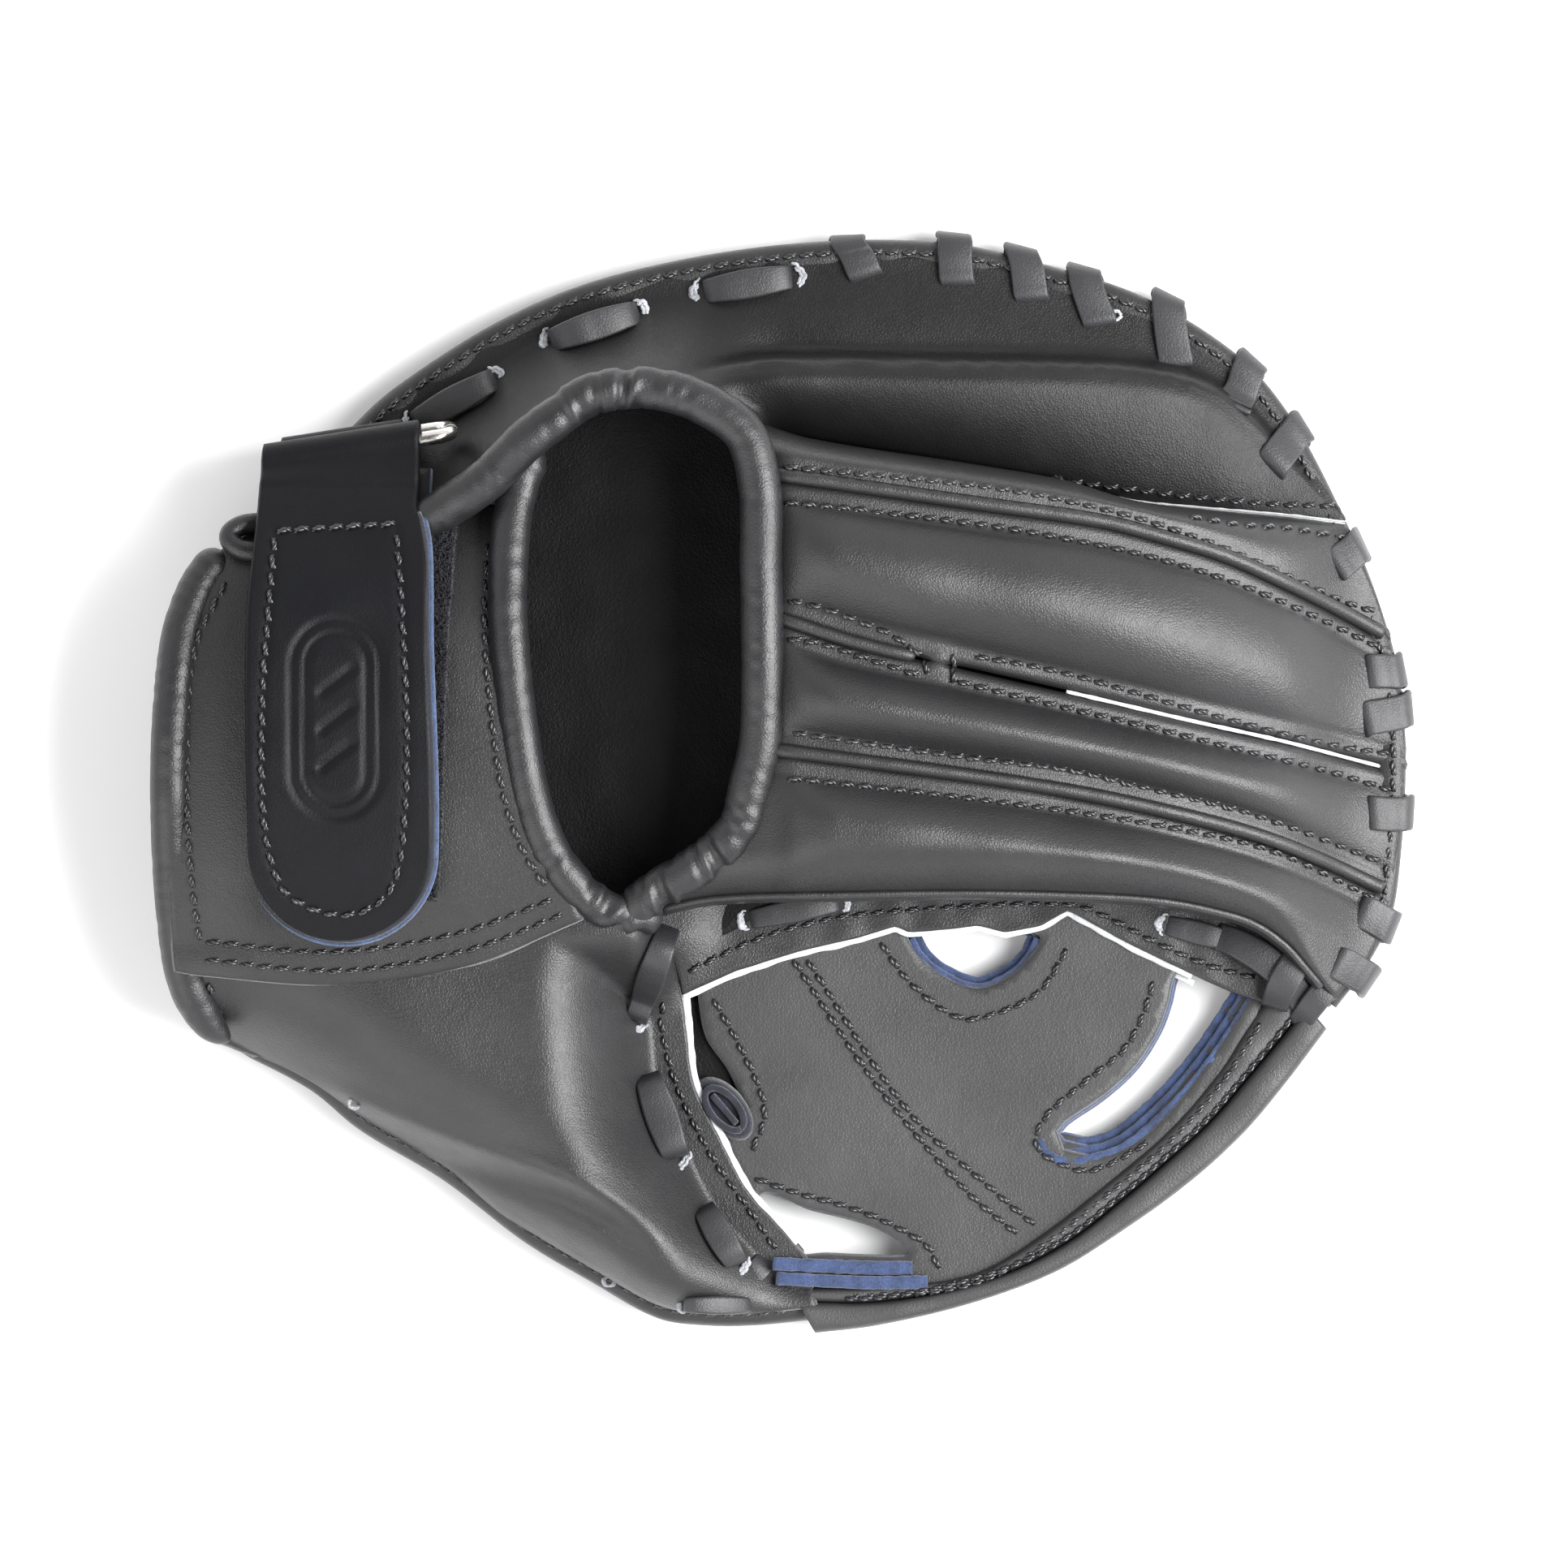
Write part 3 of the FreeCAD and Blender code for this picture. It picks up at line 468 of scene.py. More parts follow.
def leather(name, colour, rough, grain, depth, wear=0.35, specular=0.5):
    """Drum-dyed hide: fine pebbled grain, pores, soft creases, and edges rubbed paler."""
    s = Shader(name)
    blotch = s.noise(34, 5)
    base = s.ramp(blotch, [(0.3, shade(colour, 0.78)), (0.55, colour), (0.75, shade(colour, 1.3))])
    pointed = s.node("ShaderNodeNewGeometry").outputs["Pointiness"]
    rubbed = s.math("MULTIPLY", s.levels(pointed, 0.53, 0.62), s.levels(s.noise(260), 0.35, 0.7))
    rubbed = s.math("MULTIPLY", rubbed, wear)
    s.set(Base_Color=s.mix(rubbed, base, shade(colour, 3.6)))
    s.set(Roughness=s.levels(s.noise(85, 6), 0.3, 0.75, rough - 0.05, rough + 0.08))
    s.set(Specular_IOR_Level=specular)
    pebbles = s.levels(s.cells(1000 / grain), 0.0, 0.28)
    pores = s.levels(s.noise(3200, 2), 0.35, 0.65)
    creases = s.noise(170, 6, 0.6, 1.2)
    height = s.math("ADD", s.math("MULTIPLY", pebbles, 0.45), s.math("MULTIPLY", pores, 0.25))
    height = s.math("ADD", height, s.math("MULTIPLY", creases, 1.6))
    s.bump(height, depth, 0.00022)
    return s.material


def suede_edge(name, colour, layers=0.0):
    """A cut edge of dyed hide: napped fibres, streaked along the layers."""
    s = Shader(name)
    fibres = s.noise(1900, 6, 0.7)
    blotch = s.noise(240, 4)
    tone = s.math("MULTIPLY", fibres, s.levels(blotch, 0.3, 0.7, 0.6, 1.25))
    s.set(Base_Color=s.ramp(tone, [(0.18, shade(colour, 0.25)), (0.42, colour), (0.7, shade(colour, 1.9))]))
    s.set(Roughness=0.92, Sheen_Weight=0.35, Sheen_Roughness=0.5)
    s.bump(s.math("ADD", fibres, s.math("MULTIPLY", blotch, layers)), 0.9, 0.0004)
    return s.material


def felt_material(name):
    """Pressed white wool with loose fibres and grey patches; the grey follows the bump down into the hollows,
    painted shade there.
    """
    s = Shader(name)
    fibres = s.noise(2600, 8, 0.75, 2.0)
    clumps = s.noise(420, 4)
    tone = s.math("ADD", s.math("MULTIPLY", fibres, 0.6), s.math("MULTIPLY", clumps, 0.4))
    s.set(
        Base_Color=s.ramp(
            tone, [(0.3, (0.30, 0.31, 0.33)), (0.5, (0.60, 0.61, 0.62)), (0.7, (0.80, 0.80, 0.80))],
        ),
    )
    s.set(Roughness=0.95, Sheen_Weight=0.5, Sheen_Roughness=0.6)
    s.bump(tone, 0.9, 0.0005)
    return s.material


def thread_material(name):
    """Waxed thread: tight plies, near black with a blue cast."""
    s = Shader(name)
    plies = s.noise(2400, 3)
    s.set(Base_Color=s.ramp(plies, [(0.35, (0.003, 0.003, 0.004)), (0.65, (0.016, 0.016, 0.019))]))
    s.set(Roughness=0.34, Coat_Weight=0.4, Coat_Roughness=0.15)
    s.bump(plies, 0.5, 0.0002)
    return s.material


def pile_material(name):
    """Looped tape: soft dark pile that takes a blue sheen."""
    s = Shader(name)
    loops = s.cells(1500, "F1")
    fuzz = s.noise(3000, 6, 0.7)
    tone = s.math("MULTIPLY", loops, s.levels(fuzz, 0.3, 0.7, 0.5, 1.3))
    s.set(Base_Color=s.ramp(tone, [(0.1, (0.002, 0.002, 0.005)), (0.55, (0.008, 0.009, 0.019))]))
    s.set(Roughness=0.8, Sheen_Weight=0.15, Sheen_Roughness=0.35)
    s.bump(tone, 1.0, 0.0006)
    return s.material


def nickel_material(name):
    """Bright plating with fine rubbing marks."""
    s = Shader(name)
    marks = s.noise(900, 6, 0.7, 3.0)
    haze = s.noise(130, 3)
    s.set(Base_Color=s.ramp(haze, [(0.35, (0.58, 0.56, 0.52)), (0.65, (0.78, 0.76, 0.72))]))
    s.set(Metallic=1.0, Roughness=s.levels(marks, 0.35, 0.75, 0.16, 0.34))
    s.bump(marks, 0.15, 0.0001)
    return s.material


BLACK = (0.0150, 0.0150, 0.0158)
hide = leather("hide_satin_black", BLACK, 0.40, 0.7, 0.36)
# A copy of the black hide at half its colour, for the little finger's panel: painted shade for the dimmer
# upper left.
painted_shade_hide = leather("hide_satin_dark", shade(BLACK, 0.5), 0.42, 0.7, 0.34, 0.3, 0.3)
# Hide for the strap, the lower strap and the ring's tab, much darker than the body's hide; part of that
# darkness is painted shade for the dimmer upper left.
strap_hide = leather("hide_strap", (0.0036, 0.0037, 0.0050), 0.48, 0.8, 0.25, 0.1, 0.17)
# Hide for the web, paler than the body's hide; part of that paleness is painted light for the brighter lower
# right.
web_hide = leather("hide_web", (0.029, 0.029, 0.030), 0.45, 0.8, 0.3, 0.2)
# Lining hide, darker than the body's hide; the extra darkness is painted shade for the inside of the opening.
lining = leather("hide_lining", (0.0030, 0.0030, 0.0034), 0.5, 0.9, 0.35, 0.1, 0.16)
lace_hide = leather("hide_lace", (0.021, 0.021, 0.023), 0.46, 0.7, 0.3, 0.7)
roll_hide = leather("hide_rolled", (0.0135, 0.0135, 0.0148), 0.38, 0.9, 0.3, 0.35)
blue_edge = suede_edge("suede_blue_edge", (0.020, 0.036, 0.092), 0.5)
slate_edge = suede_edge("suede_slate_edge", (0.026, 0.048, 0.110))
grey_edge = suede_edge("suede_grey_edge", (0.030, 0.032, 0.036))
navy_edge = suede_edge("suede_navy_edge", (0.005, 0.007, 0.015))
eyelet_edge = suede_edge("suede_pale_eyelet", (0.30, 0.31, 0.33))
felt = felt_material("felt_white")
thread = thread_material("thread_waxed")
pile = pile_material("pile_navy")
nickel = nickel_material("nickel_plate")


# ---------------------------------------------------------------- moving with the bodies


def joint(name):
    return next(j for j in frame["joints"] if j["name"] == name)


hinge = joint("mitt_close")
HINGE_AT = array(hinge["pos_m"][:2]) / MM
HINGE_ALONG = array(hinge["axis"][:2]) / np.linalg.norm(hinge["axis"][:2])
HINGE_OUT = array([-HINGE_ALONG[1], HINGE_ALONG[0]])
BEND = 10.0


def points_of(obj):
    """A mesh's points in millimetres."""
    co = np.zeros(len(obj.data.vertices) * 3)
    obj.data.vertices.foreach_get("co", co)
    return co.reshape(-1, 3) / MM


def place(obj, *nodes):
    """Stands for the CAD nodes, and rides on the finger or thumb side; a piece that spans the fold is left on
    neither.
    """
    if nodes:
        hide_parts(*nodes)
    out = (points_of(obj)[:, :2] - HINGE_AT) @ HINGE_OUT
    if out.min() > BEND:
        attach(obj, FINGER)
    elif out.max() < -BEND:
        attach(obj, THUMB)
    else:
        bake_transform(obj)
    return obj


surfaces = {}


def keep_surface(key, *objects):
    """Remembers pieces that seams and laces lie on."""
    verts, faces = merge(
        [(points_of(obj), [tuple(p.vertices) for p in obj.data.polygons]) for obj in objects],
    )
    surfaces[key] = BVHTree.FromPolygons([Vector(v) for v in verts], faces)


def drop(key, x, y, missing=12.0):
    """Height and upward normal of a kept surface under a plan point."""
    hit, normal, _, _ = surfaces[key].ray_cast(Vector((x, y, 200)), Vector((0, 0, -1)))
    if hit is None:
        return missing, Vector((0, 0, 1))
    return hit.z, normal if normal.z > 0 else -normal


stitch_parts = []
STITCH, PITCH = 3.3, 3.7


def stitch_shape():
    """One lock stitch along +X: two twisted strands dipping at both ends."""
    parts = []
    t = np.linspace(0, 1, 9)
    for phase in (0.0, math.pi):
        turn = phase + t * math.pi * 2.2
        path = np.stack([
            (t - 0.5) * STITCH,
            np.cos(turn) * 0.3 + (t - 0.5) * 0.6,
            np.sin(turn) * 0.24 + 0.34 - 1.2 * np.abs(2 * t - 1) ** 4,
        ], 1)
        parts.append(swept(path, circle(0.38, 6)))
    return merge(parts)


STITCH_VERTS, STITCH_FACES = stitch_shape()


def sew(points, key, pitch=PITCH):
    """A row of stitches along a plan line, lying on a kept surface."""
    run = smooth(points, max(int(length(points) / 0.8), 8))
    marks = even(run, 2 * max(int(length(run) / pitch), 1) + 1)
    for k, centre in enumerate(marks[1::2]):
        along = marks[2 * k + 2] - marks[2 * k]
        along /= max(np.linalg.norm(along), 1e-9)
        z, n = drop(key, *centre)
        before, _ = drop(key, *(centre - along * 1.4))
        after, _ = drop(key, *(centre + along * 1.4))
        x = Vector((along[0] * 2.8, along[1] * 2.8, max(min(after - before, 2.5), -2.5))).normalized()
        y = n.cross(x).normalized()
        turn = np.stack([x, y, x.cross(y)])
        jitter = 1 + 0.06 * math.sin(k * 2.1)
        stitch_parts.append(((STITCH_VERTS * jitter) @ turn + array([*centre, z]), STITCH_FACES))


def flush_stitches(name):
    """Turns the rows sewn so far into one piece."""
    verts, faces = merge(stitch_parts)
    stitch_parts.clear()
    return make_object(name, verts, faces, thread, "lace_leather", clean=False)


# ---------------------------------------------------------------- plan lines and heights

SEAM_ONE = [
    (-7, 66.2), (0.2, 65.3), (41, 59.5), (67.7, 55.8), (81, 52.5), (94.5, 48.5), (108, 42.7), (121, 36.4),
    (131, 31),
]
SEAM_TWO = [
    (-7, 36.8), (0.4, 34.8), (16, 29.9), (39.7, 24.5), (62.8, 19.3), (86.5, 13.8), (108, 9.1), (126.7, 4.4),
    (134.2, 2.4),
]
SEAM_THREE = [
    (-7, 7.3), (0.9, 6.5), (41, 1.2), (61, -1.9), (81, -6), (101, -11.2), (114.6, -16.3), (131, -23.8),
]
INDEX_SIDE = [
    (-29.6, -27.5), (-15, -24.5), (15, -23.6), (41, -23.3), (67.7, -24), (81, -25), (91, -26.8),
    (101, -29.8), (108, -34.5), (113, -40), (118.5, -46.5),
]
KNUCKLE_SIDE = [
    (-7, 78.5), (6, 74.5), (41, 69), (60.4, 65.6), (75.8, 61.2), (94.5, 59), (108, 57.9), (121.4, 56.3),
]
RIM = [
    (-119, 49), (-111, 59.5), (-96.3, 74.5), (-84.5, 85.6), (-59, 101.6), (-35, 110.6), (0, 116.8),
    (34, 117.3), (56.4, 112.5), (78.4, 105.2), (98.5, 92.6), (110, 79), (121.6, 57), (128.6, 40),
    (133.5, 22), (134.6, 3), (133.4, -17), (131.4, -29), (126.4, -39), (119.5, -48.5),
]
HEEL = [(-120.5, -56), (-128, -50), (-131.4, -31), (-133, -2), (-130.5, 22), (-125, 41), (-118.5, 50)]
THUMB_RIM = [
    (6, -116), (-6.3, -117.2), (-17.5, -117.2), (-27.5, -115.6), (-41, -108.2), (-56.4, -99), (-73.7, -85.8),
    (-91.7, -75), (-102.9, -66), (-121, -56.6),
]
FINGER_ROLL = [
    (-84, 53.5), (-76, 56.9), (-71.9, 59.5), (-63.7, 65.1), (-55.7, 73), (-48.3, 78.8), (-42.7, 82.6),
    (-36.6, 84.4), (-27, 84.5), (-17.9, 81.7), (-8.8, 75.3), (-5.3, 64.2), (-4.9, 46), (-4.6, 20.5),
    (-5.1, 8.9), (-7.4, -0.9), (-9.5, -8.9), (-14.2, -14.2), (-20, -18.5), (-28, -23.5), (-34.5, -28.6),
    (-40, -33),
]
WRIST_ROLL = [
    (-52.5, 72.5), (-54.8, 69), (-56.8, 64), (-58.5, 55.1), (-59.2, 38.3), (-57.9, 20.5), (-54.8, -0.5),
    (-50.9, -12.8), (-45.7, -20.7), (-39.6, -26), (-33, -28.6), (-26, -27.6),
]
FINGER_FELT = [
    (-22, -45.6), (-10.5, -40.4), (3, -36.1), (16.3, -33.1), (24.2, -30.6), (27, -31.9), (35.9, -31.3),
    (42, -30.5), (47.6, -32), (55.5, -30.5), (61.3, -27.1), (76, -35.2), (88.4, -41.1), (97, -45),
    (106, -48),
]
THUMB_FELT = [
    (-22, -45.2), (-21.2, -53.2), (-19.8, -64.6), (-14.5, -75.8), (-8.2, -87.9), (-1.1, -95.9),
    (3.5, -101.5),
]
TUBE_OUTER = [
    (117.4, -53), (108.5, -64.8), (99.2, -75.8), (87, -86.8), (71.6, -97.8), (58.5, -105.7), (40.4, -112.4),
    (20.5, -117.1), (6.8, -118.8),
]
TUBE_GROOVE = [
    (113, -48), (108.5, -53.8), (100, -64), (91.9, -73.3), (82, -82.4), (71.6, -91.2), (62, -98.6),
    (50, -105), (36, -109.4), (20, -112), (3, -112),
]
TUBE_SEAM = [
    (106.4, -44.4), (102.2, -49.5), (94.5, -61.5), (83, -75), (70, -86.2), (57, -96.6), (45, -104.3),
    (35.2, -107.3), (18, -108.6), (1, -108.8),
]


def profile(table):
    """A smooth curve through (x, value) pairs, as a function of x."""
    curve = smooth(table, 300)
    return lambda x: np.interp(x, curve[:, 0], curve[:, 1])


def line(points):
    """A smooth plan line with a point about every millimetre."""
    return smooth(points, max(int(length(points)), 6))


seam_one, seam_two, seam_three = line(SEAM_ONE), line(SEAM_TWO), line(SEAM_THREE)
index_side, knuckle_side = line(INDEX_SIDE), line(KNUCKLE_SIDE)
rim, thumb_rim, heel = line(RIM), line(THUMB_RIM), line(HEEL)
finger_felt, thumb_felt = even(FINGER_FELT, 160), line(THUMB_FELT)

seam_z = profile([
    (-12, 41.5), (-4, 43.4), (2, 45.4), (40, 43.4), (80, 36.5), (106, 26.2), (121, 15), (128, 11.8),
    (136, 10.6),
])
swell = profile([
    (-12, 0), (-5, 0.4), (0, 1.6), (4, 4.4), (11, 6.6), (40, 7.2), (80, 6.4), (106, 4.6), (121, 2.2),
    (134, 0),
])
FLANGE, KNUCKLE_FLANGE, BRIDGE_X, PLATE_TOP = 4.6, 4.2, 33.2, 11.2


def seam_dip(d):
    """How far the hide dips at a seam and pinches at the stitches beside it."""
    return 1.5 * bell(d, 1.1) + 0.45 * bell(d - FLANGE + 0.6, 0.9)


def finger_height(low, high, bridged=None):
    """A finger's back: flat flanges at its seams and a full swell between them."""

    def height(p):
        x = p[:, 0]
        d_low, d_high = near(p, low), near(p, high)
        d = np.minimum(d_low, d_high)
        half = np.maximum((d_low + d_high) / 2, FLANGE + 1)
        t = np.clip((d - FLANGE) / (half - FLANGE), 0, 1)
        dip = seam_dip(d)
        if bridged is not None:
            dip *= 1 - bell(x - BRIDGE_X, 2.6) * (near(p, bridged) < d + 0.01)
        return seam_z(x) + swell(x) * np.sin(t * math.pi / 2) ** 0.85 - dip + 0.22 * noise(p, 26, 3)

    return height


# ---------------------------------------------------------------- finger backs

SKIN = 2.2
parted = 0.36 * (1 - bell(seam_two[:, :1] - BRIDGE_X, 3.4))
ring_plan = coons(offset(seam_two, -parted), seam_one, right=[(134.2, 2.8), (134, 12), (131, 31)])
ring_back = panel("ring_back", ring_plan, finger_height(seam_two, seam_one, seam_two), SKIN, hide)
place(ring_back, "ring_back_panel")

middle_plan = coons(seam_three, offset(seam_two, parted), right=[(131, -23.8), (133.6, -8), (134.2, 2)])
middle_back = panel("middle_back", middle_plan, finger_height(seam_three, seam_two, seam_two), SKIN, hide)
place(middle_back, "middle_back_panel")

index_base = profile([
    (-34, 34), (-20, 38.5), (-8, 42.4), (-3, 43.8), (2, 45.4), (40, 43.4), (80, 36.5), (106, 26),
    (118, 17), (126, 12.5), (134, 11),
])
ROUND = profile([(-34, 8), (0, 10), (60, 10), (90, 8), (108, 5), (116, 2), (134, 0.5)])


def index_height(p):
    """The index finger's back: flat at its seam, swelling, then rolling over its outer side."""
    x = p[:, 0]
    d_seam, d_side = near(p, seam_three), near(p, index_side)
    t = np.clip((d_seam - FLANGE) / 9, 0, 1)
    radius = ROUND(x)
    into = np.clip(1 - d_side / radius, 0, 1)
    fall = radius * (1 - np.sqrt(1 - into**2 * 0.995))
    across = d_side / (d_side + d_seam)
    z = index_base(x) + swell(x) * 0.8 * np.sin(t * math.pi / 2) * ease(across * 1.8 + 0.2)
    return z - fall - seam_dip(d_seam) + 0.25 * noise(p, 30, 5)


index_plan = coons(
    index_side, seam_three,
    left=[(-29.6, -27.5), (-20, -18.5), (-14.2, -14.2), (-9.5, -8.9), (-7.4, -0.9), (-7, 7.3)],
    right=[(118.5, -46.5), (125, -40.5), (129.6, -31), (131, -23.8)],
)
index_back = panel("index_back", index_plan, index_height, SKIN, hide)
place(index_back, "index_back_panel")

foot_z = profile([(-9, 25), (6, 21.5), (41, 20), (60, 18.5), (76, 16.5), (95, 14.5), (108, 13), (122, 11.2)])


def knuckle_height(p):
    """The ring finger's side: flat by its seam, then rolling down to the little finger."""
    x = p[:, 0]
    d_seam, d_foot = near(p, seam_one), near(p, knuckle_side)
    t = np.clip((d_seam - KNUCKLE_FLANGE) / np.maximum(d_seam + d_foot - KNUCKLE_FLANGE, 0.5), 0, 1)
    foot = foot_z(x)
    top = np.maximum(seam_z(x), foot)
    rolled = np.sqrt(np.clip(1 - t**2.2, 0, 1))
    return foot + (top - foot) * rolled - 1.2 * bell(d_seam, 1.0) + 0.2 * noise(p, 24, 9)


knuckle_plan = coons(seam_one, knuckle_side, right=[(131, 31), (128.2, 40), (121.4, 56.3)], step=0.9)
knuckle = panel("ring_side", knuckle_plan, knuckle_height, SKIN, hide)
place(knuckle, "ring_side_gusset")


def upright(name, plan, top, foot, lean, material, thickness=1.6, slot="black_leather"):
    """A wall of hide under a plan line, bowed by lean, from a top height down to its foot."""
    pts = even(plan, max(int(length(plan) / 1.4), 4))
    out = offset(pts, 1.0) - pts
    rows = []
    for v in np.linspace(0, 1, 14):
        side = pts + out * (lean * math.sin(math.pi * v))
        rows.append(lifted(side, top(pts) * (1 - v) + foot * v))
    return sheet_of(name, np.stack(rows, 1), thickness, material, slot)


index_foot = offset(index_side[3:-4], -0.7)
index_wall = upright("index_side_wall", index_foot, lambda p: index_height(p) - 0.5, 11.8, 0.8, hide)
place(index_wall, "index_side_gusset")

pinky_low = line([
    (-117.5, 49.5), (-100, 55), (-84, 56), (-74, 58.2), (-63.7, 65.1), (-55.7, 73), (-48.3, 78.8),
    (-42.7, 82.6), (-36.6, 84.2), (-27, 84.2), (-17.9, 81.2), (-9, 75.6), (-4, 75.4), (6, 74),
    (41, 68.6), (60.4, 65.2), (75.8, 61), (94.5, 59.4), (108, 58.3), (121.2, 56.9),
])
pinky_rim = line([
    (-118.5, 51), (-109.5, 60.5), (-94.8, 73.6), (-83, 82.9), (-57.6, 99), (-34, 107.7), (0, 113.7),
    (34, 114.2), (55.8, 109.6), (77, 102.6), (96.5, 90.5), (107.5, 77.5), (116.5, 64.5), (121, 57.4),
])
crease = line([
    (-42, 84), (-30, 85.5), (-21, 87.4), (-10, 90), (3, 90.8), (41, 90.4), (61, 90), (74, 89.3),
    (84, 87.8), (93, 84.5), (101, 78), (108, 70), (117, 60),
])
stall_rise = profile([(-44, 15), (0, 11.5), (40, 9.8), (76, 7), (92, 4.6), (104, 1.6), (118, 0.2)])
wall_top = profile([
    (-119, 22), (-100, 27), (-84, 31), (-66, 39), (-45, 42.8), (-20, 43.2), (-8, 43), (20, 43),
])


def pinky_surface(p):
    """The little finger's stall, its outer flange, and the wall round the opening."""
    x = p[:, 0]
    d_low, d_crease, d_rim = near(p, pinky_low), near(p, crease), near(p, pinky_rim)
    flange = PLATE_TOP + 3.6 * ease(d_rim / 20)
    share = d_low / np.maximum(d_low + d_crease, 0.1)
    foot, rise = np.minimum(foot_z(x), 21.5), stall_rise(x)
    crest = foot + rise * 0.78
    stall = foot + rise * (1 - (1 - share) ** 2.1) - (foot + rise - crest) * bell(d_crease, 2.4)
    outside = flange + np.maximum(crest - flange, 0) * bell(d_crease, 1.7)
    finger = np.where(p[:, 1] > np.interp(x, crease[:, 0], crease[:, 1]), outside, stall)
    lean = d_low / np.maximum(d_low + d_rim, 0.1)
    wall = flange + (wall_top(x) - flange) * np.clip(1 - lean * 1.25, 0, 1) ** 1.6
    side = ease((x + 26) / 26)
    blended = wall * (1 - side) + finger * side
    skirt = 11 + (wall_top(x) - 11) * np.clip(1 - d_low / 17, 0, 1) ** 1.3 * ease((-1.5 - x) / 6)
    return np.maximum(blended, skirt) + 0.16 * noise(p, 34, 12)


# The little finger's panel takes the half-dark copy of the hide: painted shade.
pinky_back = panel("pinky_back", coons(pinky_low, pinky_rim), pinky_surface, SKIN, painted_shade_hide)
place(pinky_back, "pinky_back_panel")

# ---------------------------------------------------------------- wrist and thumb

arc = profile([(-70, 18), (-50, 31.5), (-36, 36.5), (-15, 42.3), (12, 44.5), (38, 41.2), (62, 31), (72, 23)])


def wrist_height(p):
    x, y = p[:, 0], p[:, 1]
    sag = 2.4 * ease((-113 - x) / 17)
    lift = 0.9 * ease((-33 - y) / 6)
    return arc(y) - sag + lift + 0.35 * noise(p, 34, 21)


wrist_plan = coons(
    line([(-130.6, -40.2), (-124.8, -41.1), (-94.7, -43.1), (-67.9, -39), (-43.4, -29.1)]),
    line([(-120.5, 50.5), (-108, 58), (-90, 62), (-62, 60)]),
    left=[(-130.6, -40.2), (-131.4, -31), (-132.6, -2.3), (-131, 20.5), (-127.5, 38.3), (-120.5, 50.5)],
    right=[
        (-43.4, -29.1), (-47.2, -21.5), (-52.2, -12.8), (-56.3, -0.5), (-59.6, 20.5), (-61, 38.3), (-62, 60),
    ],
)
wrist_back = panel("wrist_back", wrist_plan, wrist_height, 2.2, hide, edge=grey_edge)
place(wrist_back, "wrist_back_panel")

thumb_fold = line([
    (-108, -62), (-92, -68.4), (-74, -75.6), (-58, -80.6), (-44, -85.6), (-30, -94), (-18, -104),
])
thumb_level = profile([
    (-134, 29), (-124, 31.5), (-110, 34.4), (-90, 35.4), (-60, 35.6), (-40, 36.6), (-20, 36),
])


def thumb_surface(p):
    """The thumb's back: full in the middle, steep at the rim, flat where laces hold the web."""
    x, y = p[:, 0], p[:, 1]
    d_web, d_rim, d_fold = near(p, thumb_felt), near(p, thumb_rim), near(p, thumb_fold)
    gutter = np.clip((d_web - 7.5) / 25, 0, 1)
    from_web = 1 - (1 - gutter**1.3) ** 2.3
    steep = np.clip((d_rim - 1.5) / 25, 0, 1)
    from_rim = (1 - (1 - steep) ** 2.2) ** 0.8
    crotch = ease((y + 52) / 20)
    from_web = np.maximum(from_web, crotch * ease((-19 - x) / 14))
    below = y < np.interp(x, thumb_fold[:, 0], thumb_fold[:, 1])
    crease_run = ease((x + 112) / 20) * ease((-20 - x) / 20)
    folded = 1.2 * bell(d_fold, 2.4) - 3.2 * below * bell(d_fold - 4.6, 2.9)
    z = 12 + (thumb_level(x) - 12) * from_web * from_rim + folded * crease_run * from_web
    return z + 0.25 * noise(p, 46, 31) * ease((z - 12) / 8)


thumb_top = line([
    (-129, -36.8), (-94.7, -39.4), (-67.9, -35.2), (-46, -26), (-36, -24.6), (-28.6, -27.2),
    (-24.4, -36), (-22.4, -45), (-21.4, -53), (-19.8, -64.6), (-14.5, -75.8), (-8.2, -87.9),
    (-1.1, -95.9), (4.6, -102.6),
])
thumb_low = line([
    (-122, -55.4), (-103.4, -63.6), (-91.2, -72), (-78.6, -79.6), (-72.2, -83.4), (-61.8, -92.4),
    (-55, -96.6), (-39.8, -105.6), (-27, -112.6), (-17, -114.4), (-6.3, -114.4), (6.6, -112.8),
])
thumb_back = panel(
    "thumb_back", coons(thumb_low, thumb_top, step=1.3), thumb_surface, SKIN, hide, edge=grey_edge,
)
place(thumb_back, "thumb_base_panel", "thumb_back_panel")


def flange_height(p):
    raised = 3.5 * ease((-10 - p[:, 0]) / 16) * ease((p[:, 1] + 44) / 12)
    return 12.3 + raised + 0.25 * noise(p, 14, 41)


flange_plan = coons(finger_felt, offset(index_side, -1.2)[1:-3], step=1.1)
web_flange = place(panel("web_flange", flange_plan, flange_height, 1.9, hide))

keep_surface("fingers", ring_back, middle_back, index_back, knuckle)
keep_surface("pinky", pinky_back, knuckle)
keep_surface("wrist", wrist_back)
keep_surface("index", index_back)
keep_surface("thumb", thumb_back)
keep_surface("flange", web_flange)


# ---------------------------------------------------------------- rolled edges

ROLL_SQUASH = 0.94


def distance_along(path):
    return np.concatenate([[0], np.cumsum(np.linalg.norm(np.diff(path, axis=0), axis=1))])


def round_ends(path, ends):
    """Scale along a path that closes it with a rounded end of a given length at each end."""
    run = distance_along(path)
    scale = np.ones(len(run))
    for from_end, reach in ((run, ends[0]), (run[-1] - run, ends[1])):
        if reach > 0:
            t = np.clip(from_end / reach, 0, 1)
            scale = scale * np.maximum(np.sqrt(1 - (1 - t) ** 2), 0.05)
    return scale


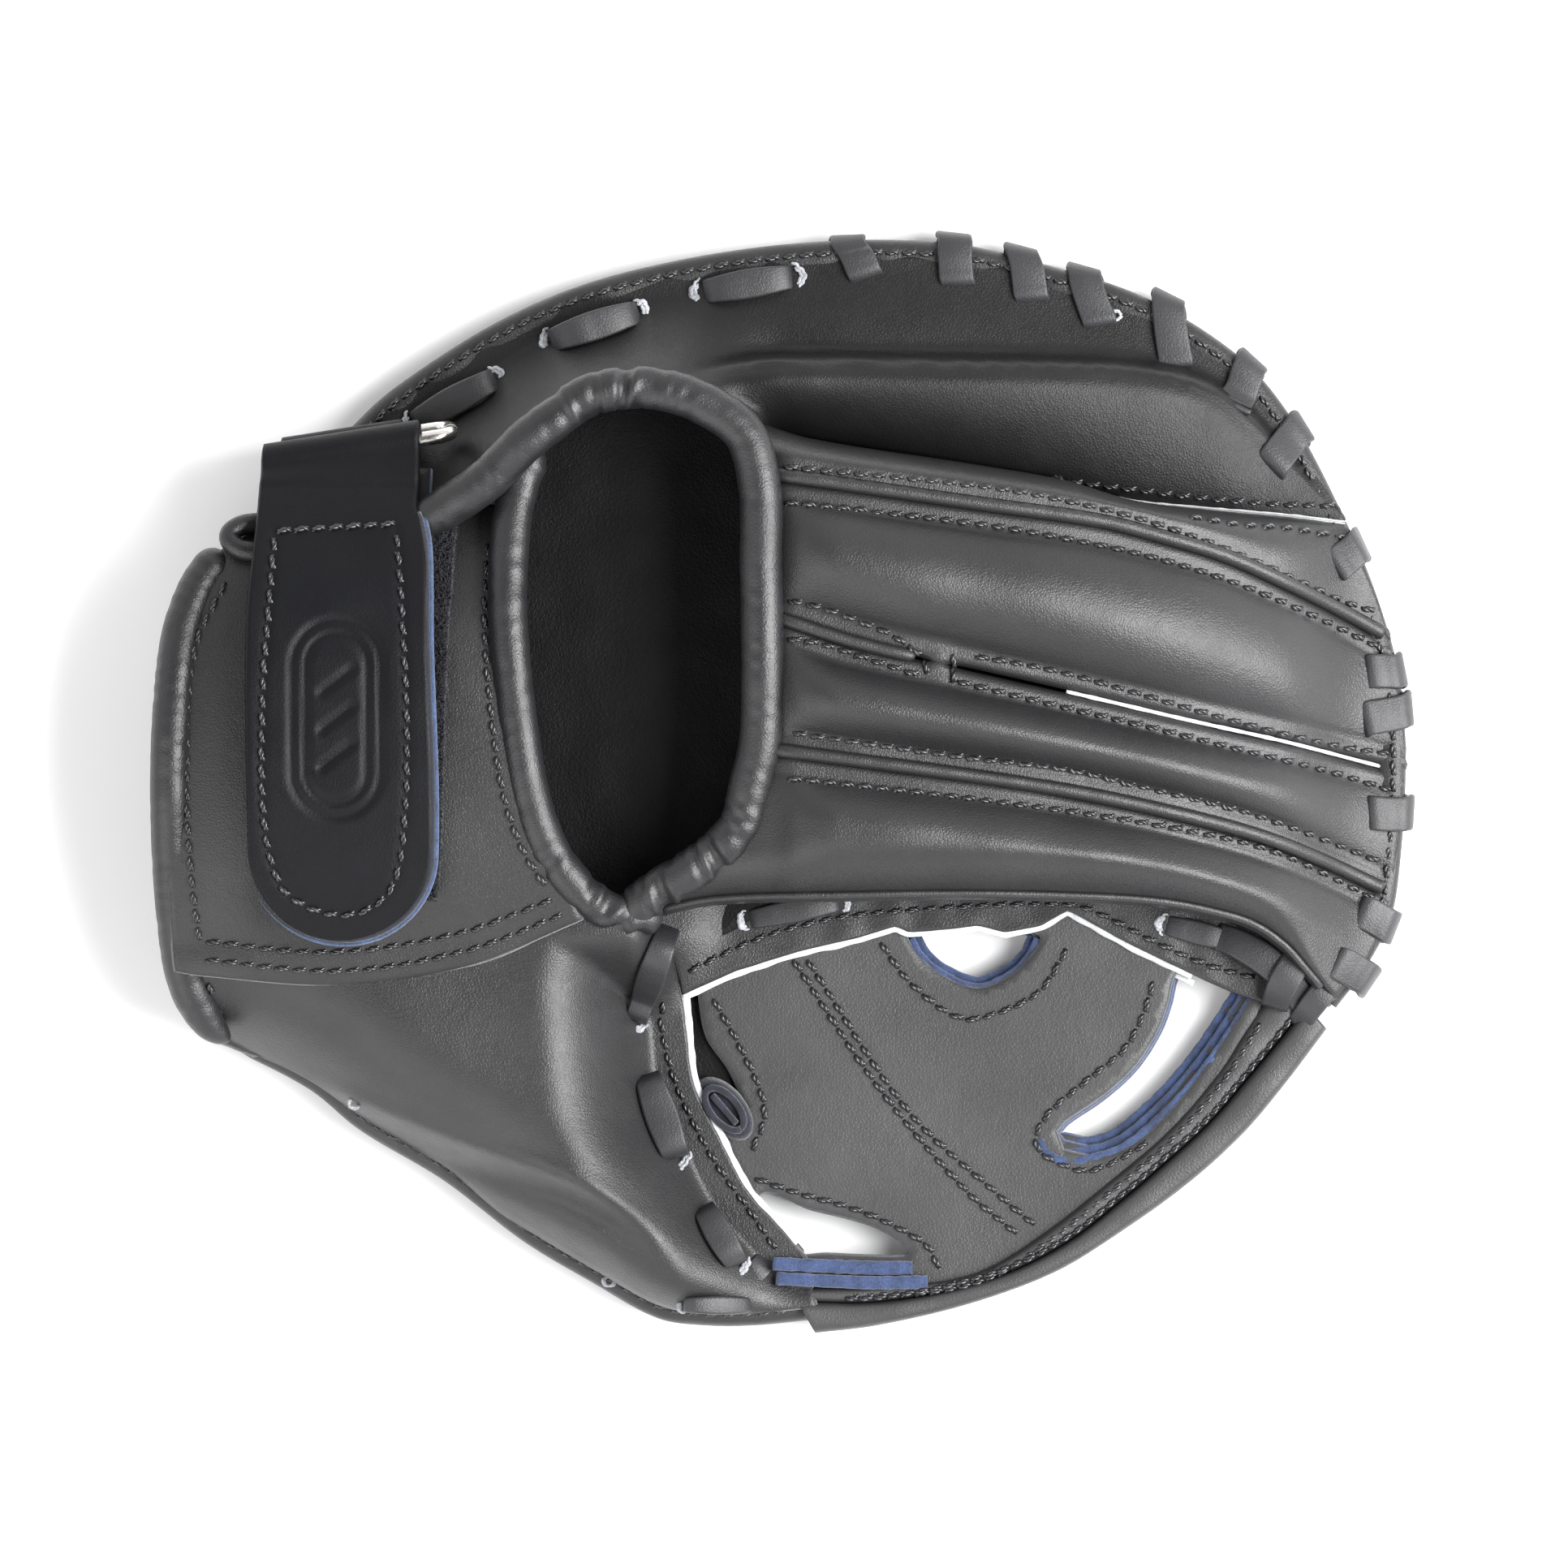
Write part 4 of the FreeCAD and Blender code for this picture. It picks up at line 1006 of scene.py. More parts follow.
def wrinkled_roll(name, node, points, radius, levels, seed, puckers=(), ends=(5, 5)):
    """A padded roll of hide along a plan line, with puckers where it turns tightly."""
    flat = smooth(points, int(length(points) / 0.7))
    path = lifted(flat, np.interp(np.linspace(0, 1, len(flat)), np.linspace(0, 1, len(levels)), levels))
    angle = np.linspace(0, 2 * math.pi, 28, endpoint=False)[None]
    side, rise = frames(path, np.broadcast_to(array(UP), path.shape))
    run = distance_along(path)[:, None]
    depth = np.full(len(path), 0.2)
    for centre, width, strength in puckers:
        depth += strength * bell(np.linalg.norm(flat - array(centre), axis=1), width)
    local = np.random.default_rng(seed)
    fold = 0
    for _ in range(6):
        rate = local.uniform(0.05, 0.42) * 2 * math.pi / 2.2
        slant = local.uniform(-1.5, 1.5)
        fold = fold + np.sin(run * rate + angle * slant + local.uniform(0, 6.3))
    fold = -np.clip(np.abs(fold / 3.2) - 0.25, 0, 1)
    r = radius + depth[:, None] * fold * np.clip(np.sin(angle) * 0.6 + 0.75, 0, 1.2)
    r = (r * round_ends(path, ends)[:, None])[..., None]
    around = np.cos(angle)[..., None] * side[:, None] + ROLL_SQUASH * np.sin(angle)[..., None] * rise[:, None]
    return place(make_object(name, *tube_of(path[:, None] + r * around), roll_hide), node)


wrinkled_roll(
    "opening_roll_fingers", "opening_finger_roll", FINGER_ROLL, 4.6,
    [34, 41, 45.2, 46, 46, 46, 46, 45.8, 45, 43, 40.5, 37, 31], 3,
    [((-38, 84), 10, 1.7), ((-14, -14), 9, 1.3), ((-28, -24), 8, 1.3)],
)
wrinkled_roll(
    "opening_roll_wrist", "opening_wrist_roll", WRIST_ROLL, 4.3,
    [38, 38, 40.5, 42.4, 43, 42.8, 42, 40.5, 38.8, 36, 32], 8,
    [((-46, -20), 7, 0.9), ((-34, -28), 7, 1.2)],
)


def band(name, node, one, two, level, half, material, seed, sides=20, slot="black_leather", full=0.8,
         ends=(0, 0)):
    """A soft band between two plan lines; full is its section's power, smaller for boxier."""
    n = max(int(max(length(one), length(two))), 8)
    a, b = smooth(one, n), smooth(two, n)
    centre, reach = (a + b) / 2, (b - a) / 2
    angle = np.linspace(0, 2 * math.pi, sides, endpoint=False)
    c = np.sign(np.cos(angle)) * np.abs(np.cos(angle)) ** full
    s = np.sign(np.sin(angle)) * np.abs(np.sin(angle)) ** full
    closing = round_ends(centre, ends)[:, None]
    flat = centre[:, None] + (reach * closing)[:, None] * c[None, :, None]
    wave = noise(flat.reshape(-1, 2), 16, seed).reshape(n, sides)
    z = level + half * s[None] * closing + 0.25 * wave * np.clip(s, 0, 1)[None]
    rings = np.concatenate([flat, z[..., None]], 2)
    return place(make_object(name, *tube_of(rings), material, slot), node)


rim_edge = band("rim_edge", "rim_binding", rim, offset(rim, 7.0), 8.0, 3.35, hide, 51, ends=(6, 0))
thumb_rim_edge = band(
    "thumb_rim_edge", "thumb_rim_binding", thumb_rim, offset(thumb_rim, 6.6), 8.0, 3.3, hide, 52,
    ends=(0, 7),
)
band("heel_edge", "heel_binding", offset(heel, -0.6), offset(heel, 6.2), 3.5, 3.2, hide, 53, ends=(6, 6))

WRIST_EDGE = [
    (-120.2, 50), (-126, 41.5), (-129.6, 30), (-131.3, 10), (-131.5, -10), (-130.6, -28), (-128.6, -42),
    (-124, -51.5), (-119.6, -55.5),
]
wrist_z = [float(arc(y)) - 3.4 for _, y in WRIST_EDGE[:-3]] + [31, 25.5, 19.5]
wrinkled_roll("wrist_binding_roll", "wrist_binding", WRIST_EDGE, 4.3, wrist_z, 15, ends=(5, 15))
keep_surface("edges", rim_edge, thumb_rim_edge)

# ---------------------------------------------------------------- palm and padding

palm_line = np.vstack([
    offset(
        line(
            [
                (-120.5, -56), (-128, -50), (-131.4, -31), (-133, -2), (-130.5, 22), (-125, 41),
                (-119, 49),
            ],
        ),
        1.6,
    ),
    offset(rim, 1.8)[2:],
    even(
        [
            (112, -47), (104, -43.5), (88.4, -39.5), (76, -34), (62, -27), (41, -29), (16, -32),
            (-7, -38), (-20, -44),
        ],
        60,
    ),
    even([(-21, -48), (-20.4, -64), (-15, -75.8), (-9, -87.5), (-1.5, -96), (3.4, -101)], 50),
    offset(thumb_rim, 1.8)[1:-2],
])
palm_border = np.vstack([palm_line, palm_line[:1]])


def palm_inner(p):
    """The sole's inner face: a flat plate whose border turns up into the rim."""
    return 3.0 + 4.2 * (1 - ease(near(p, palm_border) / 10.0)) ** 1.4


place(slab("palm_hide", palm_line, [], palm_inner, 3.0, hide, step=2.2), "palm_shell", "thumb_palm_shell")


def inner_line(margin_rim, margin_web):
    web_side = array([(100, -36), (76, -28), (41, -24), (0, -30), (-22, -43)]) + [0, margin_web]
    return np.vstack([
        offset(heel, margin_rim)[2:-1],
        offset(rim, margin_rim + 4)[10:-4],
        even(web_side, 40),
        even(array([(-30, -48), (-100, -50)]) + [0, margin_web], 20),
    ])


def level(z, rough=0.0, seed=61):
    return lambda p: float(z) + rough * noise(p, 18, seed)


def pad(name, outline, top, thick, fill, *nodes):
    """A pressed felt pad."""
    made = slab(name, outline, [], level(top[0], top[1]), thick, felt, "white_felt", 2.6, bulge=0.2)
    place(made, *nodes)


pad("palm_padding", inner_line(12, 3), (10.9, 0.25), 7.4, 0.95, "palm_felt_lower", "palm_felt_upper")
palm_inside = slab(
    "palm_inside", inner_line(10, 5), [], level(12.5, 0.1, 62), 1.2, lining, "lining_leather", 2.0,
)
place(palm_inside, "palm_lining")
place(upright("heel_inside", offset(heel, 9.2)[3:-2], level(12.6), 3.4, -0.5, lining, 1.2, "lining_leather"))

thumb_pad_line = np.vstack([
    offset(thumb_rim, 10)[8:-34],
    even([(-84, -59), (-27, -56.5), (-25, -66), (-19, -77), (-12, -88), (-5, -98)], 60),
])
pad("thumb_padding", thumb_pad_line, (10.0, 0.2), 6.4, 0.9, "thumb_felt_lower", "thumb_felt_upper")
thumb_inside = slab(
    "thumb_inside", thumb_pad_line, [], level(11.2, 0.1, 63), 1.0, lining, "lining_leather", 2.6,
)
place(thumb_inside, "thumb_lining")


def under(name, plan, height, drop_by, node):
    """A lining, hung below the back's hide."""
    place(panel(name, plan, lambda p: height(p) - drop_by, 1.1, lining, "lining_leather"), node)


def stretch(points, start, end):
    """The part of a plan line between two x values."""
    return points[(points[:, 0] >= start) & (points[:, 0] <= end)]


def inset(low, high, inward_low=2.6, low_end=104):
    """A plan grid a little inside two seams."""
    return coons(offset(stretch(low, 0, low_end), -inward_low), offset(stretch(high, 0, 104), 2.6), step=2.0)


under("ring_inside", inset(seam_two, seam_one), finger_height(seam_two, seam_one), 3.2, "ring_stall_lining")
under(
    "middle_inside", inset(seam_three, seam_two), finger_height(seam_three, seam_two), 3.2,
    "middle_stall_lining",
)
under("index_inside", inset(index_side, seam_three, 5.5, 100), index_height, 3.4, "index_stall_lining")
pinky_inner = coons(
    offset(stretch(knuckle_side, 4, 78), -3.5), line([(4, 88.5), (41, 88.5), (78, 85)]), step=2.0,
)
under("pinky_inside", pinky_inner, pinky_surface, 3.4, "pinky_stall_lining")
wrist_inner = coons(line([(-124, -34), (-58, -31)]), line([(-118, 52), (-66, 54)]), step=2.2)
under("wrist_inside", wrist_inner, wrist_height, 3.0, "wrist_lining")
thumb_inner = coons(
    line([(-98, -63), (-76, -74.5), (-58, -84), (-40, -93)]), line([(-98, -55), (-70, -52), (-34, -52)]),
    step=2.2,
)
under("thumb_stall_inside", thumb_inner, thumb_surface, 3.4, "thumb_stall_lining")

for name, seam in (("ring", seam_one), ("middle", seam_two), ("index", seam_three)):
    wall = upright(
        f"{name}_divider", stretch(seam, 1, 105), lambda p: seam_z(p[:, 0]) - 4.6, 13.2, 1.2, lining, 1.2,
        "lining_leather",
    )
    place(wall, f"{name}_stall_divider")

# ---------------------------------------------------------------- welts and felt edges


def welt(name, plan, aside, radius, node, taper=0.0):
    """A covered cord along a seam, thinner at its ends by the taper."""
    flat = offset(plan, aside)
    flat = even(flat, max(int(length(flat) / 0.9), 6))
    path = lifted(flat, seam_z(flat[:, 0]) + 0.1 + 0.12 * noise(flat, 9, 71))
    t = np.linspace(0, 1, len(path))
    scale = 1 - taper * np.maximum(np.exp(-t * 40), np.exp(-(1 - t) * 40))
    place(make_object(name, *swept(path, circle(radius, 12, 0.9), UP, scale), hide), node)


welt("ring_welt", stretch(seam_one, -6, 130), -0.7, 1.5, "ring_seam_welt")
welt("middle_welt", stretch(seam_two, -6, 28.5), -0.2, 1.4, "middle_seam_welt", 0.6)
welt("index_welt", stretch(seam_three, -6, 130), -0.5, 1.5, "index_seam_welt")


def felt_strip(name, plan, z, width, thick, seed):
    """A thin edge of felt that looks out along a plan line, slightly uneven."""
    flat = even(plan, int(length(plan) / 0.8))
    path = lifted(flat, z(flat) if callable(z) else z)
    strip = swept(path, flat_section(width, thick), UP, 1 + 0.16 * noise(flat, 5, seed))
    place(make_object(name, *strip, felt, "white_felt"))


def middle_gap_z(p):
    return seam_z(p[:, 0]) - 1.4 + 0.3 * ease((p[:, 0] - 60) / 50)


felt_strip("felt_middle_gap", stretch(seam_two, 60, 133), middle_gap_z, 0.8, 1.0, 82)
pinky_gap = line([(72, 61.7), (75.8, 60.9), (94.5, 59.2), (108, 58.1), (121.3, 56.5)])
felt_strip("felt_pinky_gap", pinky_gap, lambda p: foot_z(p[:, 0]) + 0.1, 0.8, 1.4, 83)
felt_strip("felt_finger_edge", offset(finger_felt[:-22], 0.35), 10.6, 1.9, 1.9, 84)
double = even([(57, -28.6), (61.3, -25.6), (76, -33.4), (90, -40.5)], 60)
felt_strip("felt_finger_edge_lower", offset(double, 2.9), 8.9, 1.7, 1.3, 85)
felt_strip("felt_thumb_edge", offset(thumb_felt[:-2], -0.6), 10.6, 1.9, 1.9, 86)

# ---------------------------------------------------------------- web

SLOT_INNER = [
    (85, -40), (83.7, -42.4), (82.6, -47.4), (80.2, -53.7), (75.3, -61.1), (68.6, -67.2), (60.5, -72.8),
    (58.6, -75.2),
]
SLOT_OUTER = [
    (60.2, -77.6), (66.7, -76.8), (71.6, -75.1), (77.7, -70.2), (83.8, -64.1), (90.1, -56.2), (97.5, -45),
    (99, -42.5),
]
SLIT = [
    (-18.4, -43.6), (-16.5, -54.3), (-11.7, -61.6), (-9.1, -67.6), (-8.4, -72.6), (-11.7, -76.3),
    (-17.5, -78),
]
WINDOW_CROTCH = [
    (26.5, -31.4), (28, -36), (33, -40.8), (41.5, -44.3), (49, -41.6), (53.5, -37.4), (55.6, -32.4),
    (41, -29),
]
WINDOW_THUMB = [
    (-6, -89.2), (6.5, -91.9), (18.9, -95.2), (25.6, -98.8), (27.4, -101.4), (25, -102.4), (9.6, -102),
    (0.5, -101.4),
]


WEB_TOP = 9.9


def web_level(p):
    return WEB_TOP + 0.9 * ease((p[:, 0] + p[:, 1] * 0.2 - 20) / 60) + 0.35 * noise(p, 38, 91)


def rounded(points):
    return smooth(points, 70, closed=True)[:-1]


def web_outline(grow):
    """The web's outline; lower layers grow past the upper one along the slot and windows."""
    return np.vstack(
        [
            even(
                [(-18.4, -43.6), (-5, -35.4), (15, -28.8), (41, -26.9), (62, -24.4), (78, -33.4), (85, -38)],
                90,
            ),
            offset(line(SLOT_INNER), -grow * 0.3),
            offset(
                line(
                    [
                        (60.2, -79.4), (67.4, -80.7), (72.8, -79.5), (80.9, -73.9), (91.4, -61.1),
                        (101.6, -46), (104.6, -41.6),
                    ],
                ),
                -grow,
            ),
            offset(line(TUBE_SEAM)[2:], -1.2)[8:], even([(0.5, -106), (-4.5, -104.8), (-7.6, -103)], 10),
            even([(-12, -96), (-19.5, -82), (-17.5, -78.6)], 20),
            offset(line(SLIT[::-1]), grow * 0.25)[1:-1],
        ],
    )


crotch_window, thumb_window = rounded(WINDOW_CROTCH), rounded(WINDOW_THUMB)
top_web = slab(
    "web_back_face", web_outline(0.0), [crotch_window, thumb_window], web_level, 1.9, web_hide,
    "web_leather", 1.5, edge=grey_edge,
)
place(top_web, "web_back_layer", "web_back_strip")
CROTCH_CENTRE = array((41, -35))
for index, (grow, z, shrink, nodes) in enumerate((
    (2.0, 7.9, 0.075, ()), (3.6, 6.1, 0.15, ("web_palm_layer", "web_palm_strip")),
)):
    layer = slab(
        f"web_layer_{index}", web_outline(grow),
        [CROTCH_CENTRE + (crotch_window - CROTCH_CENTRE) * (1 - shrink), thumb_window],
        lambda p: web_level(p) - WEB_TOP + z, 1.7, web_hide, "web_leather", 1.9, edge=blue_edge,
    )
    place(layer, *nodes)


def edge_trim(name, plan, z, width, material=blue_edge):
    """A napped strip where the layered edge of the web looks upward, between two heights."""
    flat = even(plan, int(length(plan) / 0.7))
    path = lifted(flat, np.linspace(*z, len(flat)) + 0.25 * noise(flat, 6, 95))
    strip = swept(path, flat_section(width, 1.5), UP, 1 + 0.08 * noise(flat, 4, 96))
    place(make_object(name, *strip, material, "web_leather"))


slot_edge = line([(58.9, -75.4), *SLOT_OUTER])
for name, aside, z, width in (("lower", 0.6, 6.4, 2.4), ("middle", 2.3, 8.0, 2.2), ("upper", 3.9, 9.6, 1.9)):
    edge_trim(f"slot_trim_{name}", offset(slot_edge, aside), (z, z), width)
crotch_run = line([
    (27.2, -33.6), (29, -37), (33, -40.8), (41.5, -44.3), (49, -41.6), (53.5, -37.4), (55.2, -33.6),
])
for name, aside, z, width in (("upper", -0.4, 8.6, 1.7), ("lower", -1.7, 6.8, 1.9)):
    edge_trim(f"crotch_trim_{name}", offset(crotch_run, aside), (z, z), width)
thumb_run = line([(-2.4, -103.6), (9.6, -104.2), (20, -104.6), (27.8, -104.6)])
edge_trim("tip_trim_upper", thumb_run, (14.2, 10.8), 3.0)
edge_trim(
    "tip_trim_lower", line([(-1.6, -106.8), (9.6, -107.4), (20, -107.8), (31, -107.6)]), (14.0, 12.2), 2.9,
)

KNOT_AT, KNOT_LONG, KNOT_WIDE = array((-12.9, -70.3)), 7.3, 3.8
KNOT_WAY = array((0.65, -0.76))
KNOT_ASIDE = array((0.76, 0.65))


def knot_loop(grow):
    """An oval round the knot at the end of the slit."""
    a = np.linspace(0, 2 * math.pi, 49)[:, None]
    return KNOT_AT + grow * (KNOT_LONG * np.cos(a) * KNOT_WAY + KNOT_WIDE * np.sin(a) * KNOT_ASIDE)


place(
    slab(
        "crotch_tongue_0", knot_loop(1.0)[:-1], [], level(11.2, 0.2, 98), 3.0, navy_edge, "web_leather", 1.0,
    ),
)
edge_trim("crotch_tongue_1", knot_loop(0.76), (11.9, 11.9), 1.5, navy_edge)
edge_trim("crotch_tongue_2", [KNOT_AT - KNOT_WAY * 4, KNOT_AT + KNOT_WAY * 4], (11.9, 11.9), 1.4, navy_edge)
# A sheet of the dark lining under the slit: painted shade, so the slit looks dark instead of showing the
# floor.
slit_shade_sheet = coons(
    line([(-24, -47), (-23, -62), (-18, -80)]), line([(-9, -43), (-5, -62), (-4, -82)]), step=1.6,
)
place(panel("slit_backing", slit_shade_sheet, level(7.2, 0.3, 99), 1.4, lining, "web_leather"))
flap_plan = coons(
    line([(-16.4, -45.5), (-13.8, -54), (-9.4, -63), (-8, -69)]),
    line([(-12.8, -44.6), (-10, -54), (-6.4, -63), (-5.2, -69)]), step=1.0,
)
place(panel("slit_flap", flap_plan, level(9.3, 0.3, 100), 1.3, web_hide, "web_leather", edge=grey_edge))

web_tube = band(
    "web_tube_cover", "web_tube", TUBE_OUTER, TUBE_GROOVE, 8.6, 4.7, web_hide, 101, 28, full=0.55,
)
web_fold = band(
    "web_inner_cover", "web_inner_fold", TUBE_GROOVE, TUBE_SEAM, 8.4, 4.1, web_hide, 102, 28, "web_leather",
    0.7,
)
keep_surface("web", top_web)
keep_surface("tube", web_tube, web_fold)

# ---------------------------------------------------------------- strap, ring and tapes

strap_left = profile([(-34, -113.2), (-10, -114.1), (34, -114.5), (59, -112.4), (74, -111.5), (84, -111)])
strap_right = profile([
    (-34, -76.4), (-14, -75.3), (2.5, -75.3), (29, -76.3), (50, -76.7), (56.7, -77.9), (60, -79),
    (68, -78.1), (84, -77.3),
])
STRAP_END, STRAP_ROUND = -33.4, 18.4
bar_at = array(joint("strap_open")["pos_m"]) / MM
bar_along = array(joint("strap_open")["axis"])
bar_slope = bar_along[1] / bar_along[0]
STRAP_THICK, STRAP_LIFT, LOOP = 2.4, 8.5, 4.35
STRAIGHT_FROM = STRAP_END + STRAP_ROUND


def groove(p, lines, width):
    """0 to 1 in a groove along plan lines."""
    return bell(np.min([near(p, one) for one in lines], axis=0), width)


def stadium(cx, cy, half_run, radius):
    """A closed plan outline with straight sides along Y and round ends."""
    a = np.linspace(0, math.pi, 40)
    end = np.stack([radius * np.cos(a), radius * np.sin(a) + half_run], 1)
    loop = np.vstack([end, -end, end[:1]])
    return loop + [cx, cy]


MOTIF_AT = (-95.6, 14.0)
motif_lines = [stadium(*MOTIF_AT, 11.5, 9.4), stadium(*MOTIF_AT, 11.5, 6.6)]
for k in (-1, 0, 1):
    x, y = MOTIF_AT[0], MOTIF_AT[1] + k * 8.0
    motif_lines.append(even([(x - 3.4, y - 2.6), (x + 3.4, y + 2.6)], 12))


def strap_grid():
    """The strap's outer face: along the wrist, over the ring's bar and back under itself."""
    s = np.linspace(0, 1, 46)
    rows = []
    low_rows = STRAIGHT_FROM - STRAP_ROUND * np.cos(np.linspace(0, math.pi / 2, 26))
    for y in np.concatenate([low_rows, np.linspace(STRAIGHT_FROM, 64, 95)[1:]]):
        left, right = float(strap_left(y)), float(strap_right(y))
        if y < STRAIGHT_FROM:
            k = (STRAIGHT_FROM - y) / STRAP_ROUND
            w = max(math.sqrt(max(1 - k * k, 0)), 0.12)
            mid = (left + right) / 2
            left, right = mid + (left - mid) * w, mid + (right - mid) * w
        outline = np.column_stack([left + (right - left) * s, np.full_like(s, y)])
        rows.append(lifted(outline, float(arc(y)) + STRAP_LIFT))
    last = rows[-1]
    bar_y = bar_at[1] + (last[:, 0] - bar_at[0]) * bar_slope
    top_z = bar_at[2] + LOOP
    for t in np.linspace(0, 1, 9)[1:]:
        y = last[:, 1] * (1 - t) + bar_y * t
        z = last[:, 2] * (1 - ease(t)) + top_z * ease(t)
        rows.append(np.stack([last[:, 0] + (strap_left(y) - last[0, 0]) * (1 - s), y, z], 1))
    x = rows[-1][:, 0]
    for angle in np.linspace(90, -90, 16)[1:]:
        g = math.radians(angle)
        z = np.full_like(x, bar_at[2] + LOOP * math.sin(g))
        rows.append(np.stack([x, bar_y + LOOP * math.cos(g), z], 1))
    for t in np.linspace(0, 1, 7)[1:]:
        rows.append(np.stack([x, bar_y - 7 * t, np.full_like(x, bar_at[2] - LOOP + 3.4 * ease(t))], 1))
    return np.stack(rows, 1)


flat_strap = strap_grid()
strap_shape = flat_strap.shape
flat_strap = flat_strap.reshape(-1, 3)
on_top = (flat_strap[:, 1] < 60) & (flat_strap[:, 2] > 35)
box_line = smooth([
    (-108.9, 54.1), (-110.1, 37), (-111.3, 19), (-111, -8), (-107.6, -21.6), (-102, -26.2), (-94.9, -28),
    (-88.6, -26.6), (-84, -22.4), (-81.6, -14), (-80.4, 9), (-81.7, 39.4), (-83, 54.8),
], 200)
pressed = groove(flat_strap, motif_lines, 0.75) * 0.85 + groove(flat_strap, [box_line], 0.9) * 0.3
flat_strap[:, 2] += (0.18 * noise(flat_strap, 22, 111) - pressed) * on_top


def on_strap(obj, *nodes):
    """Stands for the CAD nodes and rides on the strap."""
    if nodes:
        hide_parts(*nodes)
    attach(obj, STRAP)
    return obj


strap = sheet_of("strap_leather", flat_strap.reshape(strap_shape), STRAP_THICK, strap_hide)
keep_surface("strap", on_strap(strap, "strap_flap"))

side_ys = np.linspace(58, STRAIGHT_FROM, 40)
left, right = float(strap_left(-15)), float(strap_right(-15))
a = np.radians(np.linspace(0, 150, 40)[1:])
side_run = np.stack([strap_right(side_ys), side_ys], 1)
end_x = (left + right) / 2 + (right - left) / 2 * np.cos(a)
end_run = np.stack([end_x, STRAIGHT_FROM - STRAP_ROUND * np.sin(a)], 1)
strap_side = even(np.vstack([side_run, end_run]), 130)
STRAP_EDGES = ((-0.15, 0.75, 1.3, navy_edge), (-0.95, 1.15, 1.2, slate_edge))
for index, (aside, below, width, material) in enumerate(STRAP_EDGES):
    flat = offset(strap_side, aside)
    path = lifted(flat, arc(flat[:, 1]) + STRAP_LIFT - below)
    fading = np.clip(np.linspace(4.4, 0, len(path)), 0.12, 1)
    strip = swept(path, flat_section(width, 1.5), UP, fading)
    on_strap(make_object(f"strap_side_{index}", *strip, material))
under_strap = coons(line([(-108, -24), (-82, -24)]), line([(-110, 40), (-80.5, 40)]), step=1.6)
hook_tape = panel("hook_tape", under_strap, lambda p: arc(p[:, 1]) + 5.6, 1.1, pile, "hook_and_loop")
on_strap(hook_tape, "hook_patch")

TAPE_LIFT = 4.0
loop_right = profile([
    (-30, -75), (-17.7, -73.8), (0, -73.2), (29, -72.2), (50, -70.9), (60, -70.5), (66, -71),
])
tape_ys = np.linspace(-25, 60, 70)
tape_low = np.stack([np.full(len(tape_ys), -106.0), tape_ys], 1)
tape_plan = coons(tape_low, np.stack([loop_right(tape_ys), tape_ys], 1), step=1.3)


def tape_z(p):
    return arc(p[:, 1]) + TAPE_LIFT + 0.25 * noise(p, 3, 115)


place(panel("loop_tape", tape_plan, tape_z, 1.3, pile, "hook_and_loop"), "loop_patch")
fuzz = []
for _ in range(2600):
    y = rng.uniform(-25, 60)
    x = float(loop_right(y)) - abs(rng.normal(0, 2.6)) + 0.3
    z = float(arc(y)) + TAPE_LIFT
    turn, tall = rng.uniform(0, math.pi), rng.uniform(0.5, 1.3)
    reach = rng.uniform(0.3, 0.8)
    a = np.linspace(0, math.pi, 5)
    flat = np.cos(a) * reach
    curl = np.stack([flat * math.cos(turn), flat * math.sin(turn), np.sin(a) * tall], 1)
    facing = (math.sin(turn) + 0.01, -math.cos(turn), 0)
    fuzz.append(swept(curl + [x, y, z - 0.15], circle(0.09, 3), facing))
place(make_object("loop_tape_pile", *merge(fuzz), pile, "hook_and_loop", clean=False))
lower_plan = coons(line([(-108, -20), (-80, -20)]), line([(-108, 66), (-76, 68)]), step=1.8)
lower_strap = panel("strap_base", lower_plan, lambda p: arc(p[:, 1]) + 2.4, 2.0, strap_hide, edge=slate_edge)
place(lower_strap, "lower_strap")

lower_bar = array(joint("ring_tilt")["pos_m"]) / MM
ring_up = bar_at - lower_bar
ring_height = float(np.linalg.norm(ring_up))
ring_up /= ring_height
ring_across = bar_along * (1 if bar_along[0] > 0 else -1)
ring_middle = (bar_at + lower_bar) / 2 + ring_across * 3.6
RING_HALF, RING_CORNER = 19.6, 3.6
corner = np.linspace(0, math.pi / 2, 9)
ring_line = []
for sx, sy, start in ((1, 1, 0), (-1, 1, 1), (-1, -1, 2), (1, -1, 3)):
    turn = corner + start * math.pi / 2
    centre = ring_across * sx * (RING_HALF - RING_CORNER) + ring_up * sy * (ring_height / 2 - RING_CORNER)
    for t in turn:
        around = ring_across * math.cos(t) + ring_up * math.sin(t)
        ring_line.append(ring_middle + centre + RING_CORNER * around)
ring_line = even(ring_line + ring_line[:1], 140)
ring_side = np.cross(ring_across, ring_up)
TAB_HALF, TAB_OUTER = 13.0, 3.35


def tab_grid():
    """The ring's tab: a strip of hide folded over the lower bar, with both ends hanging."""
    a = np.radians(np.linspace(-32, 212, 20))
    fold = np.stack([np.cos(a), np.sin(a)], 1) * TAB_OUTER
    hang = array([(1.7, -7.4), (1.75, -6.4), (1.9, -5.0), (2.35, -3.4)])
    around = smooth(np.vstack([hang, fold, (hang * [-1, 1])[::-1]]), 64)
    rows = []
    for s in np.linspace(-TAB_HALF, TAB_HALF, 28):
        centre = lower_bar + ring_across * s
        rows.append(centre + around[:, :1] * ring_side + around[:, 1:] * ring_up)
    return np.stack(rows)


place(sheet_of("ring_tab_hide", tab_grid(), 1.45, strap_hide), "ring_tab")
wire_ring = make_object("wire_ring", *swept(ring_line, circle(1.6, 18), ring_side), nickel, "nickel")
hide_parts("strap_ring")
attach(wire_ring, RING)

